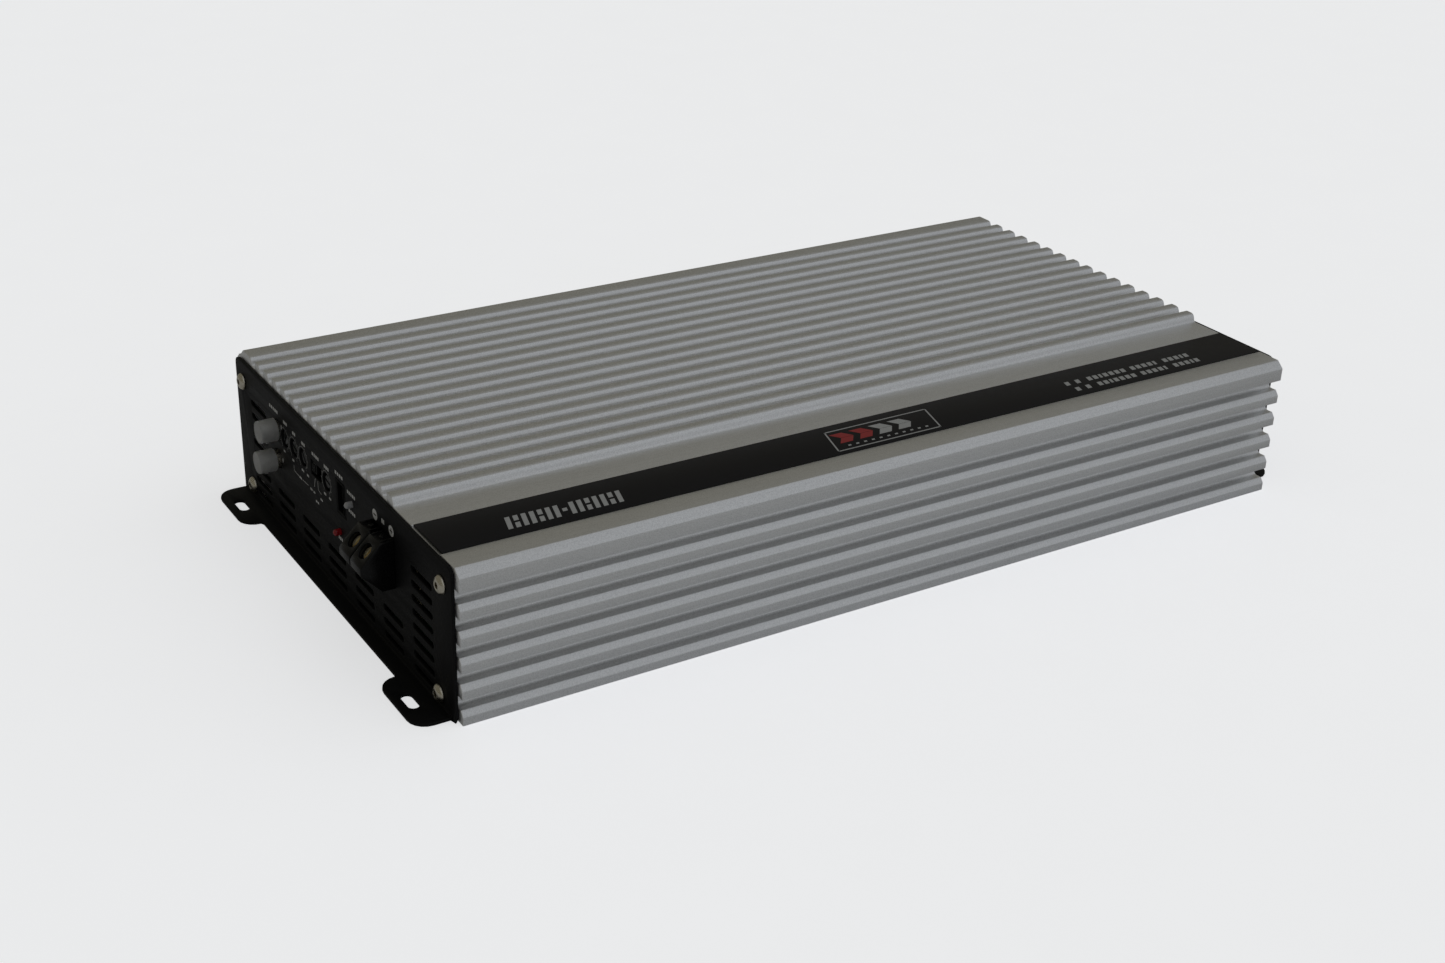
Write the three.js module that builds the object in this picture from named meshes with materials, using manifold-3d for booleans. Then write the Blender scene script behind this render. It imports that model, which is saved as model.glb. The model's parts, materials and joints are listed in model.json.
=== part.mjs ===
import * as THREE from 'three';
import { mergeVertices } from 'three/addons/utils/BufferGeometryUtils.js';
import Module from 'manifold-3d';

const wasm = await Module();
wasm.setup();

// Car audio amplifier, in millimetres. X runs along the extruded heatsink with the control
// end at -X and the power end at +X, -Y is the front, Z is up and Z = 0 is the floor.

// Overall size of the extruded heatsink body
const bodyLength = 430;
const bodyWidth = 240;
const bodyHeight = 71.5;
const deckHeight = 67.6;

// Clearances: between pieces that meet, and under a seated screw head
const gap = 0.3;
const seatGap = 0.1;

// Heatsink section
const sideFinCount = 6;
const sideFinDepth = 6.5;
const sideFinFace = 3.8;
const sideFinSlope = { depth: 1.9, rise: 2.45 };
const sideLedgeDrop = 0.15;
const sideFillet = 1.8;
const sideFilletSteps = 3;
const sideTopFace = 6.15;
const shoulderDrop = 3.2;
const shoulderWidth = 3.6;
const bandWidth = 59.5;
const topFinPitch = 10.66;
const topFinWidth = 6.2;
const topFinRise = 3;
const backSlopeWidth = 4.7;
const wallThickness = 3.6;
const roofThickness = 4;
const lowerBossWidth = 14.7;
const lowerBossTop = 11;
const upperBossWidth = 6.6;
const upperBossBottom = 52.5;
const screwBoreRadius = 2.25;

// Label strip let into the front band
const stripWidth = 25.8;
const stripInset = 16;
const stripThickness = 0.8;
const stripRecess = 0.8;
const stripEndInset = 0.8;

// Bottom cover and its countersunk screws
const coverThickness = 1.8;
const coverUnderside = 1;
const coverScrewCount = 3;
const coverScrewInset = 21.4;
const coverScrewEndInset = 40;
const coverScrewRadius = 1.3;
const coverScrewHeadRadius = 2.6;
const coverScrewLength = 7;

// End plates, with a foot flange bent outwards at the bottom
const plateThickness = 1.5;
const plateInset = { control: 3, power: 7 };
const plateHeight = 67.2;
const plateCorner = 4.5;
const flangeWidth = 6.6;
const tabReach = 15.4;
const tabStart = 3;
const tabEnd = 41;
const tabRound = 8;
const slotWidth = 4.8;
const slotLength = 11.5;
const slotAcross = 21.5;
const slotOut = 9.3;

// Button-head end-plate screws, placed from the corner of the body
const upperScrew = { inset: 11.7, height: 57.2 };
const lowerScrew = { inset: 16.6, height: 6.6 };
const screwRadius = 1.95;
const screwLength = 10;
const screwHeadRadius = 3.9;
const screwHeadHeight = 2.2;
const screwHexRadius = 1.45;
const screwHexDepth = 1.4;
const screwHoleRadius = 2.3;

// Louvre slots in the end plates
const ventColumns = 7;
const ventInset = 30.9;
const ventLength = 19.6;
const ventHeight = 2.9;
const ventPitch = 6.4;
const ventBottom = 5.8;
const ventRowsOuter = 8;
const ventRowsInner = 3;

// Main board and control board
const boardThickness = 1.6;
const boardEndInset = 1.5;
const controlBoardDepth = 12;
const controlBoardTop = 62;
const controlBoardMargin = 7;

// Controls on the control end, placed across the body from its centre line
const controlHeight = 49.5;
const levelPots = [
  { name: 'level', across: 56.5, turn: -1.1 },
  { name: 'lowpass', across: 45.5, turn: 0.4 },
  { name: 'subsonic', across: 34.5, turn: 0.9 },
  { name: 'boost', across: 7.4, turn: 0.2 },
];
const potHoleClearance = 1;
const potShaftRadius = 3.2;
const potShaftRecess = 0.6;
const potShaftLength = 9.5;
const potBodyDepth = 7;
const potBodyWidth = 9.4;
const potBodyHeight = 11;
const potSlotWidth = 1;
const potSlotDepth = 0.9;
const switchAcross = 19;
const switchWindowWidth = 12;
const switchWindowHeight = 7;
const switchBodyHeight = 9.6;
const switchKnobWidth = 4.6;
const switchKnobHeight = 5;
const switchKnobDepth = 8;
const portAcross = -8.6;
const portHeight = 48.7;
const portFaceWidth = 9.2;
const portFaceHeight = 15.5;
const portWall = 1.2;
const portDepth = 11;
const portRibInset = 0.9;
const portRibThickness = 0.7;
const powerLed = { across: -5.6, height: 32 };
const clipLed = { across: -20.3, height: 51.3 };
const ledRadius = 1.5;
const ledReach = 3.2;
const ledFlange = 0.4;

// Signal input jacks and their push-on caps
const jackAcross = 66.5;
const jackUpperHeight = 50.1;
const jackPitch = 14.5;
const jackRadius = 4.15;
const jackWall = 0.5;
const jackReach = 7.2;
const jackCoreRadius = 3.2;
const jackCoreReach = 6.2;
const jackPinRadius = 1.7;
const jackHousingWidth = 9.8;
const jackHousingMargin = 6.5;
const capWall = 0.8;
const capLength = 8.1;
const capEndWall = 1;
const capEdge = 1.1;
const capPush = { upper: 0.5, lower: 2 };
const capLug = 1.6;

// Screw-clamp terminal blocks: each pole has its own cage, screw and wire entry
const polePitch = 11;
const blockHeight = 21.4;
const blockTopDepth = 6;
const blockDepth = 14.6;
const blockNose = 4.2;
const blockInside = 6;
const blockShoulder = 1;
const splitWidth = 0.8;
const splitDepth = 0.7;
const cageSide = 8.4;
const cageDepth = 3.8;
const wireRadius = 3.7;
const clampScrewRadius = 3;
const clampScrewLength = 3;
const clampScrewSlot = 1;
const clampScrewSlotDepth = 1.1;
const tailWidth = 6;
const tailThickness = 1.6;
const tailReach = 11;
const speakerBlock = { across: -53.5, height: 44.4, poles: ['plus', 'minus'] };
const powerBlock = { across: -45, height: 44.4, poles: ['battery', 'remote', 'ground'] };

// Power parts on the main board
const transformer = { x: 70, y: 12, outer: 46, inner: 17, height: 36 };
const inductor = { x: -60, y: 62, outer: 26, inner: 10, height: 24 };
const capacitorRadius = 12.5;
const capacitorHeight = 42;
const capacitorX = -62;
const capacitorPitch = 30;
const capacitorStart = -62;
const deviceBarLength = 300;
const deviceBarThickness = 4;
const deviceBarHeight = 34;
const deviceCount = 10;
const deviceSize = { length: 16, depth: 4.6, height: 20 };

const half = { length: bodyLength / 2, width: bodyWidth / 2 };
const sideFinPitch = (deckHeight - shoulderDrop - sideTopFace) / (sideFinCount - 1);
const wallInner = sideFinDepth + wallThickness;
const ceiling = deckHeight - roofThickness;
const coverTop = coverUnderside + coverThickness;
const boardBottom = lowerBossTop + gap;
const boardTop = boardBottom + boardThickness;
const partsFloor = boardTop + gap;
const plateOuter = gap + plateThickness;

function polygon(points) {
  return new THREE.Shape(points.map(([a, b]) => new THREE.Vector2(a, b)));
}

function circlePath(a, b, radius) {
  const path = new THREE.Path();
  path.absarc(a, b, radius, 0, Math.PI * 2, false);
  return path;
}

// A round-ended slot, long in the first direction, or in the second when upright
function slotPath(a, b, length, height, upright = false) {
  const reach = (length - height) / 2;
  const tilt = upright ? Math.PI / 2 : 0;
  const [along, up] = upright ? [0, reach] : [reach, 0];
  const path = new THREE.Path();
  path.absarc(a + along, b + up, height / 2, tilt - Math.PI / 2, tilt + Math.PI / 2, false);
  path.absarc(a - along, b - up, height / 2, tilt + Math.PI / 2, tilt + Math.PI * 1.5, false);
  path.closePath();
  return path;
}

function rectanglePath(a, b, width, height) {
  return polygon([
    [a - width / 2, b - height / 2],
    [a + width / 2, b - height / 2],
    [a + width / 2, b + height / 2],
    [a - width / 2, b + height / 2],
  ]);
}

function extrude(shape, depth, curveSegments) {
  return new THREE.ExtrudeGeometry(shape, { depth, bevelEnabled: false, curveSegments });
}

// Prisms: the outline is drawn in the plane square to the named axis
function prismX(shape, from, to, curveSegments = 6) {
  const geometry = extrude(shape, to - from, curveSegments);
  const basis = new THREE.Matrix4().makeBasis(
    new THREE.Vector3(0, 1, 0),
    new THREE.Vector3(0, 0, 1),
    new THREE.Vector3(1, 0, 0),
  );
  return geometry.applyMatrix4(basis).translate(from, 0, 0);
}

function prismY(shape, from, to, curveSegments = 6) {
  return extrude(shape, to - from, curveSegments).rotateX(Math.PI / 2).translate(0, to, 0);
}

function prismZ(shape, from, to, curveSegments = 6) {
  return extrude(shape, to - from, curveSegments).translate(0, 0, from);
}

function box(from, to) {
  const low = new THREE.Vector3(...from).min(new THREE.Vector3(...to));
  const high = new THREE.Vector3(...from).max(new THREE.Vector3(...to));
  const size = high.clone().sub(low);
  const middle = low.clone().add(high).multiplyScalar(0.5);
  return new THREE.BoxGeometry(size.x, size.y, size.z).translate(middle.x, middle.y, middle.z);
}

// A turned piece whose profile is [radius, height]; the axis is then laid along a direction
function turned(profile, segments, origin, direction) {
  const points = profile.map(([radius, height]) => new THREE.Vector2(radius, height));
  const turn = new THREE.Quaternion().setFromUnitVectors(
    new THREE.Vector3(0, 1, 0),
    new THREE.Vector3(...direction).normalize(),
  );
  return new THREE.LatheGeometry(points, segments).applyQuaternion(turn).translate(...origin);
}

function rod(radius, from, to, segments = 16) {
  const start = new THREE.Vector3(...from);
  const along = new THREE.Vector3(...to).sub(start);
  const profile = [[0, 0], [radius, 0], [radius, along.length()], [0, along.length()]];
  return turned(profile, segments, from, along.toArray());
}

function toSolid(geometry) {
  const loose = geometry.index ? geometry.toNonIndexed() : geometry;
  const bare = new THREE.BufferGeometry();
  bare.setAttribute('position', loose.getAttribute('position'));
  const merged = mergeVertices(bare, 1e-4);
  const index = merged.getIndex().array;
  const triangles = [];
  for (let i = 0; i < index.length; i += 3) {
    const [a, b, c] = [index[i], index[i + 1], index[i + 2]];
    if (a !== b && b !== c && c !== a) {
      triangles.push(a, b, c);
    }
  }
  return new wasm.Manifold(new wasm.Mesh({
    numProp: 3,
    vertProperties: new Float32Array(merged.getAttribute('position').array),
    triVerts: new Uint32Array(triangles),
  }));
}

function toGeometry(solid) {
  const { vertProperties, triVerts, numProp } = solid.getMesh();
  const positions = new Float32Array(triVerts.length * 3);
  triVerts.forEach((vertex, corner) => {
    for (let axis = 0; axis < 3; axis += 1) {
      positions[corner * 3 + axis] = vertProperties[vertex * numProp + axis];
    }
  });
  const geometry = new THREE.BufferGeometry();
  geometry.setAttribute('position', new THREE.BufferAttribute(positions, 3));
  geometry.computeVertexNormals();
  return geometry;
}

function shaped(base, { add = [], cut = [] }) {
  let solid = toSolid(base);
  add.forEach((piece) => {
    solid = solid.add(toSolid(piece));
  });
  cut.forEach((piece) => {
    solid = solid.subtract(toSolid(piece));
  });
  return toGeometry(solid);
}

const finishes = {
  aluminium: { color: 0xa9aca9, roughness: 0.42, metalness: 0.9 },
  blackSteel: { color: 0x1c1c1d, roughness: 0.6, metalness: 0.2 },
  strip: { color: 0x232326, roughness: 0.45, metalness: 0.3 },
  nickel: { color: 0xc9c5b8, roughness: 0.25, metalness: 1 },
  brass: { color: 0xc2a25a, roughness: 0.3, metalness: 1 },
  blackPlastic: { color: 0x151516, roughness: 0.5, metalness: 0 },
  capPlastic: { color: 0xb9bab8, roughness: 0.45, metalness: 0 },
  whitePlastic: { color: 0xe6e6e2, roughness: 0.5, metalness: 0 },
  redLens: { color: 0xb01018, roughness: 0.2, metalness: 0 },
  clearLens: { color: 0xe8e8ea, roughness: 0.15, metalness: 0 },
  board: { color: 0x1f4d33, roughness: 0.5, metalness: 0 },
  ferrite: { color: 0x6a5228, roughness: 0.5, metalness: 0.1 },
  sleeve: { color: 0x20242c, roughness: 0.4, metalness: 0 },
};

const amplifier = new THREE.Group();
amplifier.name = 'car_amplifier';

function addNode(name, geometry, finish) {
  const mesh = new THREE.Mesh(geometry, new THREE.MeshStandardMaterial(finishes[finish]));
  mesh.name = name;
  amplifier.add(mesh);
}

// One side of the section from the floor up to the deck, as [depth from the side, height]
function sideProfile() {
  const points = [[0, 0]];
  for (let fin = 1; fin < sideFinCount; fin += 1) {
    const tip = fin * sideFinPitch;
    const faceTop = tip - sideFinPitch + sideFinFace;
    const crest = faceTop + sideFinSlope.rise;
    points.push([0, faceTop], [sideFinSlope.depth, crest]);
    for (let step = 0; step <= sideFilletSteps; step += 1) {
      const turn = (step / sideFilletSteps) * (Math.PI / 2);
      points.push([
        sideFinDepth - sideFillet * (1 - Math.sin(turn)),
        crest - sideLedgeDrop + sideFillet * (1 - Math.cos(turn)),
      ]);
    }
    points.push([sideFinDepth, tip], [0, tip]);
  }
  points.push([0, deckHeight - shoulderDrop], [shoulderWidth, deckHeight]);
  return points;
}

// The inside of one wall from the floor up to the ceiling, with its two screw bosses
function wallProfile() {
  return [
    [wallInner, 0],
    [wallInner, coverTop + gap],
    [wallInner + lowerBossWidth, coverTop + gap],
    [wallInner + lowerBossWidth, lowerBossTop],
    [wallInner, lowerBossTop],
    [wallInner, upperBossBottom],
    [wallInner + upperBossWidth, upperBossBottom + 2],
    [wallInner + upperBossWidth, ceiling],
  ];
}

function deckProfile() {
  const recessFloor = deckHeight - stripRecess;
  const points = [
    [stripInset - gap, deckHeight],
    [stripInset - gap, recessFloor],
    [stripInset + stripWidth + gap, recessFloor],
    [stripInset + stripWidth + gap, deckHeight],
  ];
  const backTop = bodyWidth - shoulderWidth - 1.4 - backSlopeWidth;
  const finCount = Math.floor((backTop - bandWidth) / topFinPitch);
  for (let fin = 0; fin < finCount; fin += 1) {
    const foot = bandWidth + fin * topFinPitch;
    const last = fin === finCount - 1;
    const crest = last ? backTop : foot + topFinWidth;
    points.push(
      [foot - 0.6, deckHeight],
      [foot + 0.3, deckHeight + 0.6],
      [foot + 0.8, deckHeight + 2.2],
      [foot + 1.6, bodyHeight - 0.4],
      [foot + topFinRise, bodyHeight],
      [crest, bodyHeight],
      [last ? crest + backSlopeWidth : crest, deckHeight],
    );
  }
  return points;
}

function across(points) {
  return points.map(([depth, height]) => [depth - half.width, height]);
}

function mirrored(points) {
  return across(points).map(([depth, height]) => [-depth, height]).reverse();
}

const screwPlaces = [-1, 1].flatMap((side) => [
  { name: side < 0 ? 'front_top' : 'back_top', side, ...upperScrew },
  { name: side < 0 ? 'front_low' : 'back_low', side, ...lowerScrew },
]).map((place) => ({ ...place, y: place.side * (half.width - place.inset) }));

const coverScrewPlaces = [-1, 1].flatMap((side) => (
  Array.from({ length: coverScrewCount }, (_, i) => {
    const reach = bodyLength - 2 * coverScrewEndInset;
    const x = -half.length + coverScrewEndInset + (reach * i) / (coverScrewCount - 1);
    return { name: `${side < 0 ? 'front' : 'back'}_${i + 1}`, x, y: side * (half.width - coverScrewInset) };
  })
));

function buildHeatsink() {
  const section = polygon([
    ...across(sideProfile()),
    ...across(deckProfile()),
    ...mirrored(sideProfile()),
    ...mirrored(wallProfile()).reverse(),
    ...across(wallProfile()).reverse(),
  ]);
  screwPlaces.forEach(({ y, height }) => {
    section.holes.push(circlePath(y, height, screwBoreRadius));
  });
  const body = prismX(section, -half.length, half.length);
  const bores = coverScrewPlaces.map(({ x, y }) => (
    rod(coverScrewRadius + gap, [x, y, coverTop], [x, y, lowerBossTop + 1], 10)
  ));
  addNode('heatsink_body', shaped(body, { cut: bores }), 'aluminium');
}

function buildStrip() {
  const bottom = deckHeight - stripRecess + gap;
  const start = -half.width + stripInset;
  addNode('label_strip', box(
    [-half.length + stripEndInset, start, bottom],
    [half.length - stripEndInset, start + stripWidth, bottom + stripThickness],
  ), 'strip');
}

function buildCover() {
  const edge = half.width - wallInner - gap;
  const sheet = box(
    [-half.length + gap, -edge, coverUnderside],
    [half.length - gap, edge, coverTop],
  );
  const holes = coverScrewPlaces.flatMap(({ x, y }) => [
    rod(coverScrewRadius + gap, [x, y, 0], [x, y, coverTop + 1], 12),
    turned(
      [
        [0, -0.5],
        [coverScrewHeadRadius + gap, -0.5],
        [coverScrewHeadRadius + gap, 0.2],
        [coverScrewRadius, coverThickness - 0.2],
        [0, coverThickness - 0.2],
      ],
      16,
      [x, y, coverUnderside],
      [0, 0, 1],
    ),
  ]);
  addNode('bottom_cover', shaped(sheet, { cut: holes }), 'blackSteel');
  coverScrewPlaces.forEach(({ name, x, y }) => {
    const screw = turned(
      [
        [0, 0],
        [coverScrewHeadRadius, 0],
        [coverScrewHeadRadius, 0.2],
        [coverScrewRadius, coverThickness - 0.5],
        [coverScrewRadius, coverScrewLength],
        [0, coverScrewLength],
      ],
      14,
      [x, y, coverUnderside],
      [0, 0, 1],
    );
    const socket = rod(0.9, [x, y, 0], [x, y, coverUnderside + 0.8], 6);
    addNode(`cover_screw_${name}`, shaped(screw, { cut: [socket] }), 'blackSteel');
  });
}

// Foot flange: a narrow ledge with a rounded, slotted tab near each corner, as
// [distance out from the plate's face, distance in from its edge]
function tabProfile() {
  const points = [[-plateThickness, tabStart]];
  for (let step = 0; step <= 5; step += 1) {
    const turn = (step / 5) * (Math.PI / 2);
    points.push([
      tabReach - tabRound * (1 - Math.sin(turn)),
      tabStart + tabRound * (1 - Math.cos(turn)),
    ]);
  }
  for (let step = 0; step <= 5; step += 1) {
    const turn = (step / 5) * (Math.PI / 2);
    points.push([
      tabReach - tabRound * (1 - Math.cos(turn)),
      tabEnd - tabRound * (1 - Math.sin(turn)),
    ]);
  }
  points.push([flangeWidth, tabEnd + 1.5]);
  return points;
}

function flangeShape(out, edge) {
  const face = half.length + plateOuter;
  const front = tabProfile().map(([reach, inset]) => [out * (face + reach), inset - edge]);
  const back = front.map(([x, y]) => [x, -y]).reverse();
  const shape = polygon([...front, ...back]);
  [-1, 1].forEach((side) => {
    const y = side * (edge - slotAcross);
    shape.holes.push(slotPath(out * (face + slotOut), y, slotLength, slotWidth, true));
  });
  return shape;
}

function plateShape(edge) {
  const shape = new THREE.Shape();
  shape.moveTo(-edge, 0);
  shape.lineTo(edge, 0);
  shape.lineTo(edge, plateHeight - plateCorner);
  shape.quadraticCurveTo(edge, plateHeight, edge - plateCorner, plateHeight);
  shape.lineTo(-edge + plateCorner, plateHeight);
  shape.quadraticCurveTo(-edge, plateHeight, -edge, plateHeight - plateCorner);
  screwPlaces.forEach(({ y, height }) => {
    shape.holes.push(circlePath(y, height, screwHoleRadius));
  });
  const span = bodyWidth - 2 * ventInset;
  for (let column = 0; column < ventColumns; column += 1) {
    const y = -half.width + ventInset + (span * column) / (ventColumns - 1);
    const outer = column === 0 || column === ventColumns - 1;
    for (let row = 0; row < (outer ? ventRowsOuter : ventRowsInner); row += 1) {
      shape.holes.push(slotPath(y, ventBottom + row * ventPitch, ventLength, ventHeight));
    }
  }
  return shape;
}

function blockWidth(block) {
  return block.poles.length * polePitch;
}

function blockWindow(block) {
  const width = blockWidth(block) - 2 * blockShoulder;
  const height = blockHeight - 2 * blockShoulder;
  return rectanglePath(block.across, block.height, width + 2 * gap, height + 2 * gap);
}

function controlWindows() {
  const jackHole = jackRadius + 2 * gap;
  const potHoleRadius = potShaftRadius + potHoleClearance;
  return [
    ...levelPots.map((pot) => circlePath(pot.across, controlHeight, potHoleRadius)),
    rectanglePath(switchAcross, controlHeight, switchWindowWidth, switchWindowHeight),
    rectanglePath(portAcross, portHeight, portFaceWidth + 2 * gap, portFaceHeight + 2 * gap),
    circlePath(powerLed.across, powerLed.height, ledRadius + gap),
    circlePath(clipLed.across, clipLed.height, ledRadius + gap),
    circlePath(jackAcross, jackUpperHeight, jackHole),
    circlePath(jackAcross, jackUpperHeight - jackPitch, jackHole),
    blockWindow(speakerBlock),
  ];
}

function buildEndPlate(end, out, windows) {
  const edge = half.width - plateInset[end];
  const shape = plateShape(edge);
  shape.holes.push(...windows);
  const inner = out * (half.length + gap);
  const outer = out * (half.length + plateOuter);
  const sheet = prismX(shape, Math.min(inner, outer), Math.max(inner, outer));
  const flange = prismZ(flangeShape(out, edge), 0, plateThickness);
  addNode(`${end}_end_plate`, shaped(sheet, { add: [flange] }), 'blackSteel');
}

function buildPlateScrews(end, out) {
  const face = half.length + plateOuter + seatGap;
  const profile = [
    [0, -screwLength],
    [screwRadius, -screwLength],
    [screwRadius, 0],
    [screwHeadRadius, 0],
    [screwHeadRadius, 0.5],
    [screwHeadRadius * 0.86, screwHeadHeight * 0.66],
    [screwHeadRadius * 0.6, screwHeadHeight * 0.95],
    [screwHeadRadius * 0.42, screwHeadHeight],
    [0, screwHeadHeight],
  ];
  screwPlaces.forEach(({ name, y, height }) => {
    const head = turned(profile, 16, [out * face, y, height], [out, 0, 0]);
    const mouth = face + screwHeadHeight + 1;
    const floor = face + screwHeadHeight - screwHexDepth;
    const hex = rod(screwHexRadius, [out * floor, y, height], [out * mouth, y, height], 6);
    addNode(`${end}_screw_${name}`, shaped(head, { cut: [hex] }), 'nickel');
  });
}

// Terminal block outline in X and Z, and the shapes inside it, as [outwards, up] from its middle
function blockOutline() {
  const top = blockHeight / 2;
  const rear = -plateThickness - gap - blockInside;
  const slope = blockDepth - blockTopDepth;
  const nose = Math.min(blockNose / 2, top - slope);
  return [
    [rear, -top + blockShoulder],
    [0, -top + blockShoulder],
    [0, -top],
    [blockTopDepth, -top],
    [blockDepth - 0.8, -nose - 0.6],
    [blockDepth, -nose + 0.6],
    [blockDepth, nose - 0.6],
    [blockDepth - 0.8, nose + 0.6],
    [blockTopDepth, top],
    [0, top],
    [0, top - blockShoulder],
    [rear, top - blockShoulder],
  ];
}

// The cage is a square block standing on its corner, so wire and screw cross at a right angle
function cageReach(swell) {
  return cageSide / Math.SQRT2 + swell * Math.SQRT2;
}

// Places inside a block: at(outwards, up) in X and Z, onAxis along the screw (up) or wire (down)
function blockFrame(block, out) {
  const face = out * (half.length + plateOuter + seatGap);
  const at = (outwards, up) => [face + out * outwards, block.height + up];
  const onAxis = (distance, side, y) => {
    const [x, z] = at(cageDepth + distance / Math.SQRT2, (side * distance) / Math.SQRT2);
    return [x, y, z];
  };
  return { at, onAxis };
}

function buildClamp(name, { at, onAxis }, y, floor) {
  const reach = cageReach(0);
  const outline = [[reach, 0], [0, reach], [-reach, 0], [0, -reach]];
  const cage = prismY(
    polygon(outline.map(([outwards, up]) => at(cageDepth + outwards, up))),
    y - cageSide / 2,
    y + cageSide / 2,
  );
  const tailEnd = -(plateOuter + seatGap + tailReach);
  const tail = prismY(
    polygon([
      at(cageDepth - reach + 2, tailThickness / 2),
      at(tailEnd, tailThickness / 2),
      [at(tailEnd, 0)[0], floor],
      [at(tailEnd + tailThickness, 0)[0], floor],
      at(tailEnd + tailThickness, -tailThickness / 2),
      at(cageDepth - reach + 2, -tailThickness / 2),
    ]),
    y - tailWidth / 2,
    y + tailWidth / 2,
  );
  const wireEnd = -(clampScrewRadius + 2 * gap);
  const bores = [
    rod(clampScrewRadius + gap, onAxis(0, 1, y), onAxis(cageSide, 1, y), 20),
    rod(wireRadius, onAxis(wireEnd, -1, y), onAxis(cageSide, -1, y), 20),
  ];
  addNode(`${name}_clamp`, shaped(cage, { add: [tail], cut: bores }), 'brass');

  const tip = wireRadius + gap;
  const head = tip + clampScrewLength;
  const screw = rod(clampScrewRadius, onAxis(tip, 1, y), onAxis(head, 1, y), 20);
  const blade = new THREE.BoxGeometry(3 * clampScrewRadius, clampScrewSlot, 2 * clampScrewSlotDepth);
  const [x, , z] = onAxis(head, 1, y);
  const [lowX] = onAxis(0, 1, y);
  blade.rotateY(Math.sign(x - lowX) * (Math.PI / 4)).translate(x, y, z);
  addNode(`${name}_screw`, shaped(screw, { cut: [blade] }), 'brass');
}

function buildTerminal(block, end, out) {
  const frame = blockFrame(block, out);
  const { at, onAxis } = frame;
  const width = blockWidth(block);
  const low = block.across - width / 2;
  const rear = -plateThickness - gap - blockInside;
  const body = prismY(
    polygon(blockOutline().map(([outwards, up]) => at(outwards, up))),
    low,
    low + width,
  );
  const cuts = [low - 1, low + width - blockShoulder].map((start) => box(
    [at(rear - 1, 0)[0], start, 0],
    [at(0, 0)[0], start + blockShoulder + 1, bodyHeight],
  ));
  const reach = cageReach(gap);
  block.poles.forEach((pole, i) => {
    const y = low + (i + 0.5) * polePitch;
    const cavity = polygon([
      at(rear - 1, -reach),
      at(cageDepth, -reach),
      at(cageDepth + reach, 0),
      at(cageDepth, reach),
      at(rear - 1, reach),
    ]);
    cuts.push(
      prismY(cavity, y - cageSide / 2 - gap, y + cageSide / 2 + gap),
      rod(clampScrewRadius + 0.5, onAxis(0, 1, y), onAxis(20, 1, y), 20),
      rod(wireRadius, onAxis(0, -1, y), onAxis(20, -1, y), 20),
    );
    if (i > 0) {
      const split = low + i * polePitch;
      cuts.push(box(
        [at(0.5, 0)[0], split - splitWidth / 2, 0],
        [at(blockDepth + 1, 0)[0], split + splitWidth / 2, bodyHeight],
      ));
    }
    buildClamp(`${end}_${pole}`, frame, y, partsFloor);
  });
  addNode(`${end}_terminal_block`, shaped(body, { cut: cuts }), 'blackPlastic');
}

function buildBoards() {
  const edge = half.width - wallInner - gap;
  addNode('main_board', box(
    [-half.length + boardEndInset, -edge, boardBottom],
    [half.length - boardEndInset, edge, boardTop],
  ), 'board');
  const start = -half.length + controlBoardDepth;
  addNode('control_board', box(
    [start, clipLed.across - controlBoardMargin, partsFloor],
    [start + boardThickness, jackAcross + controlBoardMargin, controlBoardTop],
  ), 'board');
}

// Depth inside the control end at which the control board's parts end
const controlRear = controlBoardDepth - gap;

function buildPots() {
  const inside = (depth) => -half.length + depth;
  const shaftStart = -(plateOuter - potShaftRecess);
  const bodyStart = controlRear - potBodyDepth;
  levelPots.forEach((pot) => {
    const y = pot.across;
    const body = box(
      [inside(bodyStart), y - potBodyWidth / 2, controlHeight - potBodyHeight / 2],
      [inside(controlRear), y + potBodyWidth / 2, controlHeight + potBodyHeight / 2],
    );
    const boreEnd = shaftStart + potShaftLength + gap;
    const bore = rod(
      potShaftRadius + gap,
      [inside(bodyStart - 1), y, controlHeight],
      [inside(boreEnd), y, controlHeight],
      24,
    );
    addNode(`${pot.name}_pot`, shaped(body, { cut: [bore] }), 'blackPlastic');
    const shaft = rod(
      potShaftRadius,
      [inside(shaftStart), y, controlHeight],
      [inside(shaftStart + potShaftLength), y, controlHeight],
      24,
    );
    const blade = new THREE.BoxGeometry(2 * potSlotDepth, 3 * potShaftRadius, potSlotWidth);
    blade.rotateX(pot.turn).translate(inside(shaftStart), y, controlHeight);
    addNode(`${pot.name}_shaft`, shaped(shaft, { cut: [blade] }), 'blackPlastic');
  });
}

function buildSwitch() {
  const inside = (depth) => -half.length + depth;
  const width = switchWindowWidth + 0.6;
  const body = box(
    [inside(0), switchAcross - width / 2, controlHeight - switchBodyHeight / 2],
    [inside(controlRear), switchAcross + width / 2, controlHeight + switchBodyHeight / 2],
  );
  const travel = (switchWindowWidth - switchKnobWidth) / 2 - gap;
  const knobFront = -(plateOuter - potShaftRecess);
  const knobRear = knobFront + switchKnobDepth;
  const channel = box(
    [inside(-1), switchAcross - switchWindowWidth / 2, controlHeight - switchKnobHeight / 2 - gap],
    [
      inside(knobRear + gap),
      switchAcross + switchWindowWidth / 2,
      controlHeight + switchKnobHeight / 2 + gap,
    ],
  );
  addNode('mode_switch_body', shaped(body, { cut: [channel] }), 'blackPlastic');
  const rest = switchAcross + travel;
  addNode('mode_switch_knob', box(
    [inside(knobFront), rest - switchKnobWidth / 2, controlHeight - switchKnobHeight / 2],
    [inside(knobRear), rest + switchKnobWidth / 2, controlHeight + switchKnobHeight / 2],
  ), 'blackPlastic');
}

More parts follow.
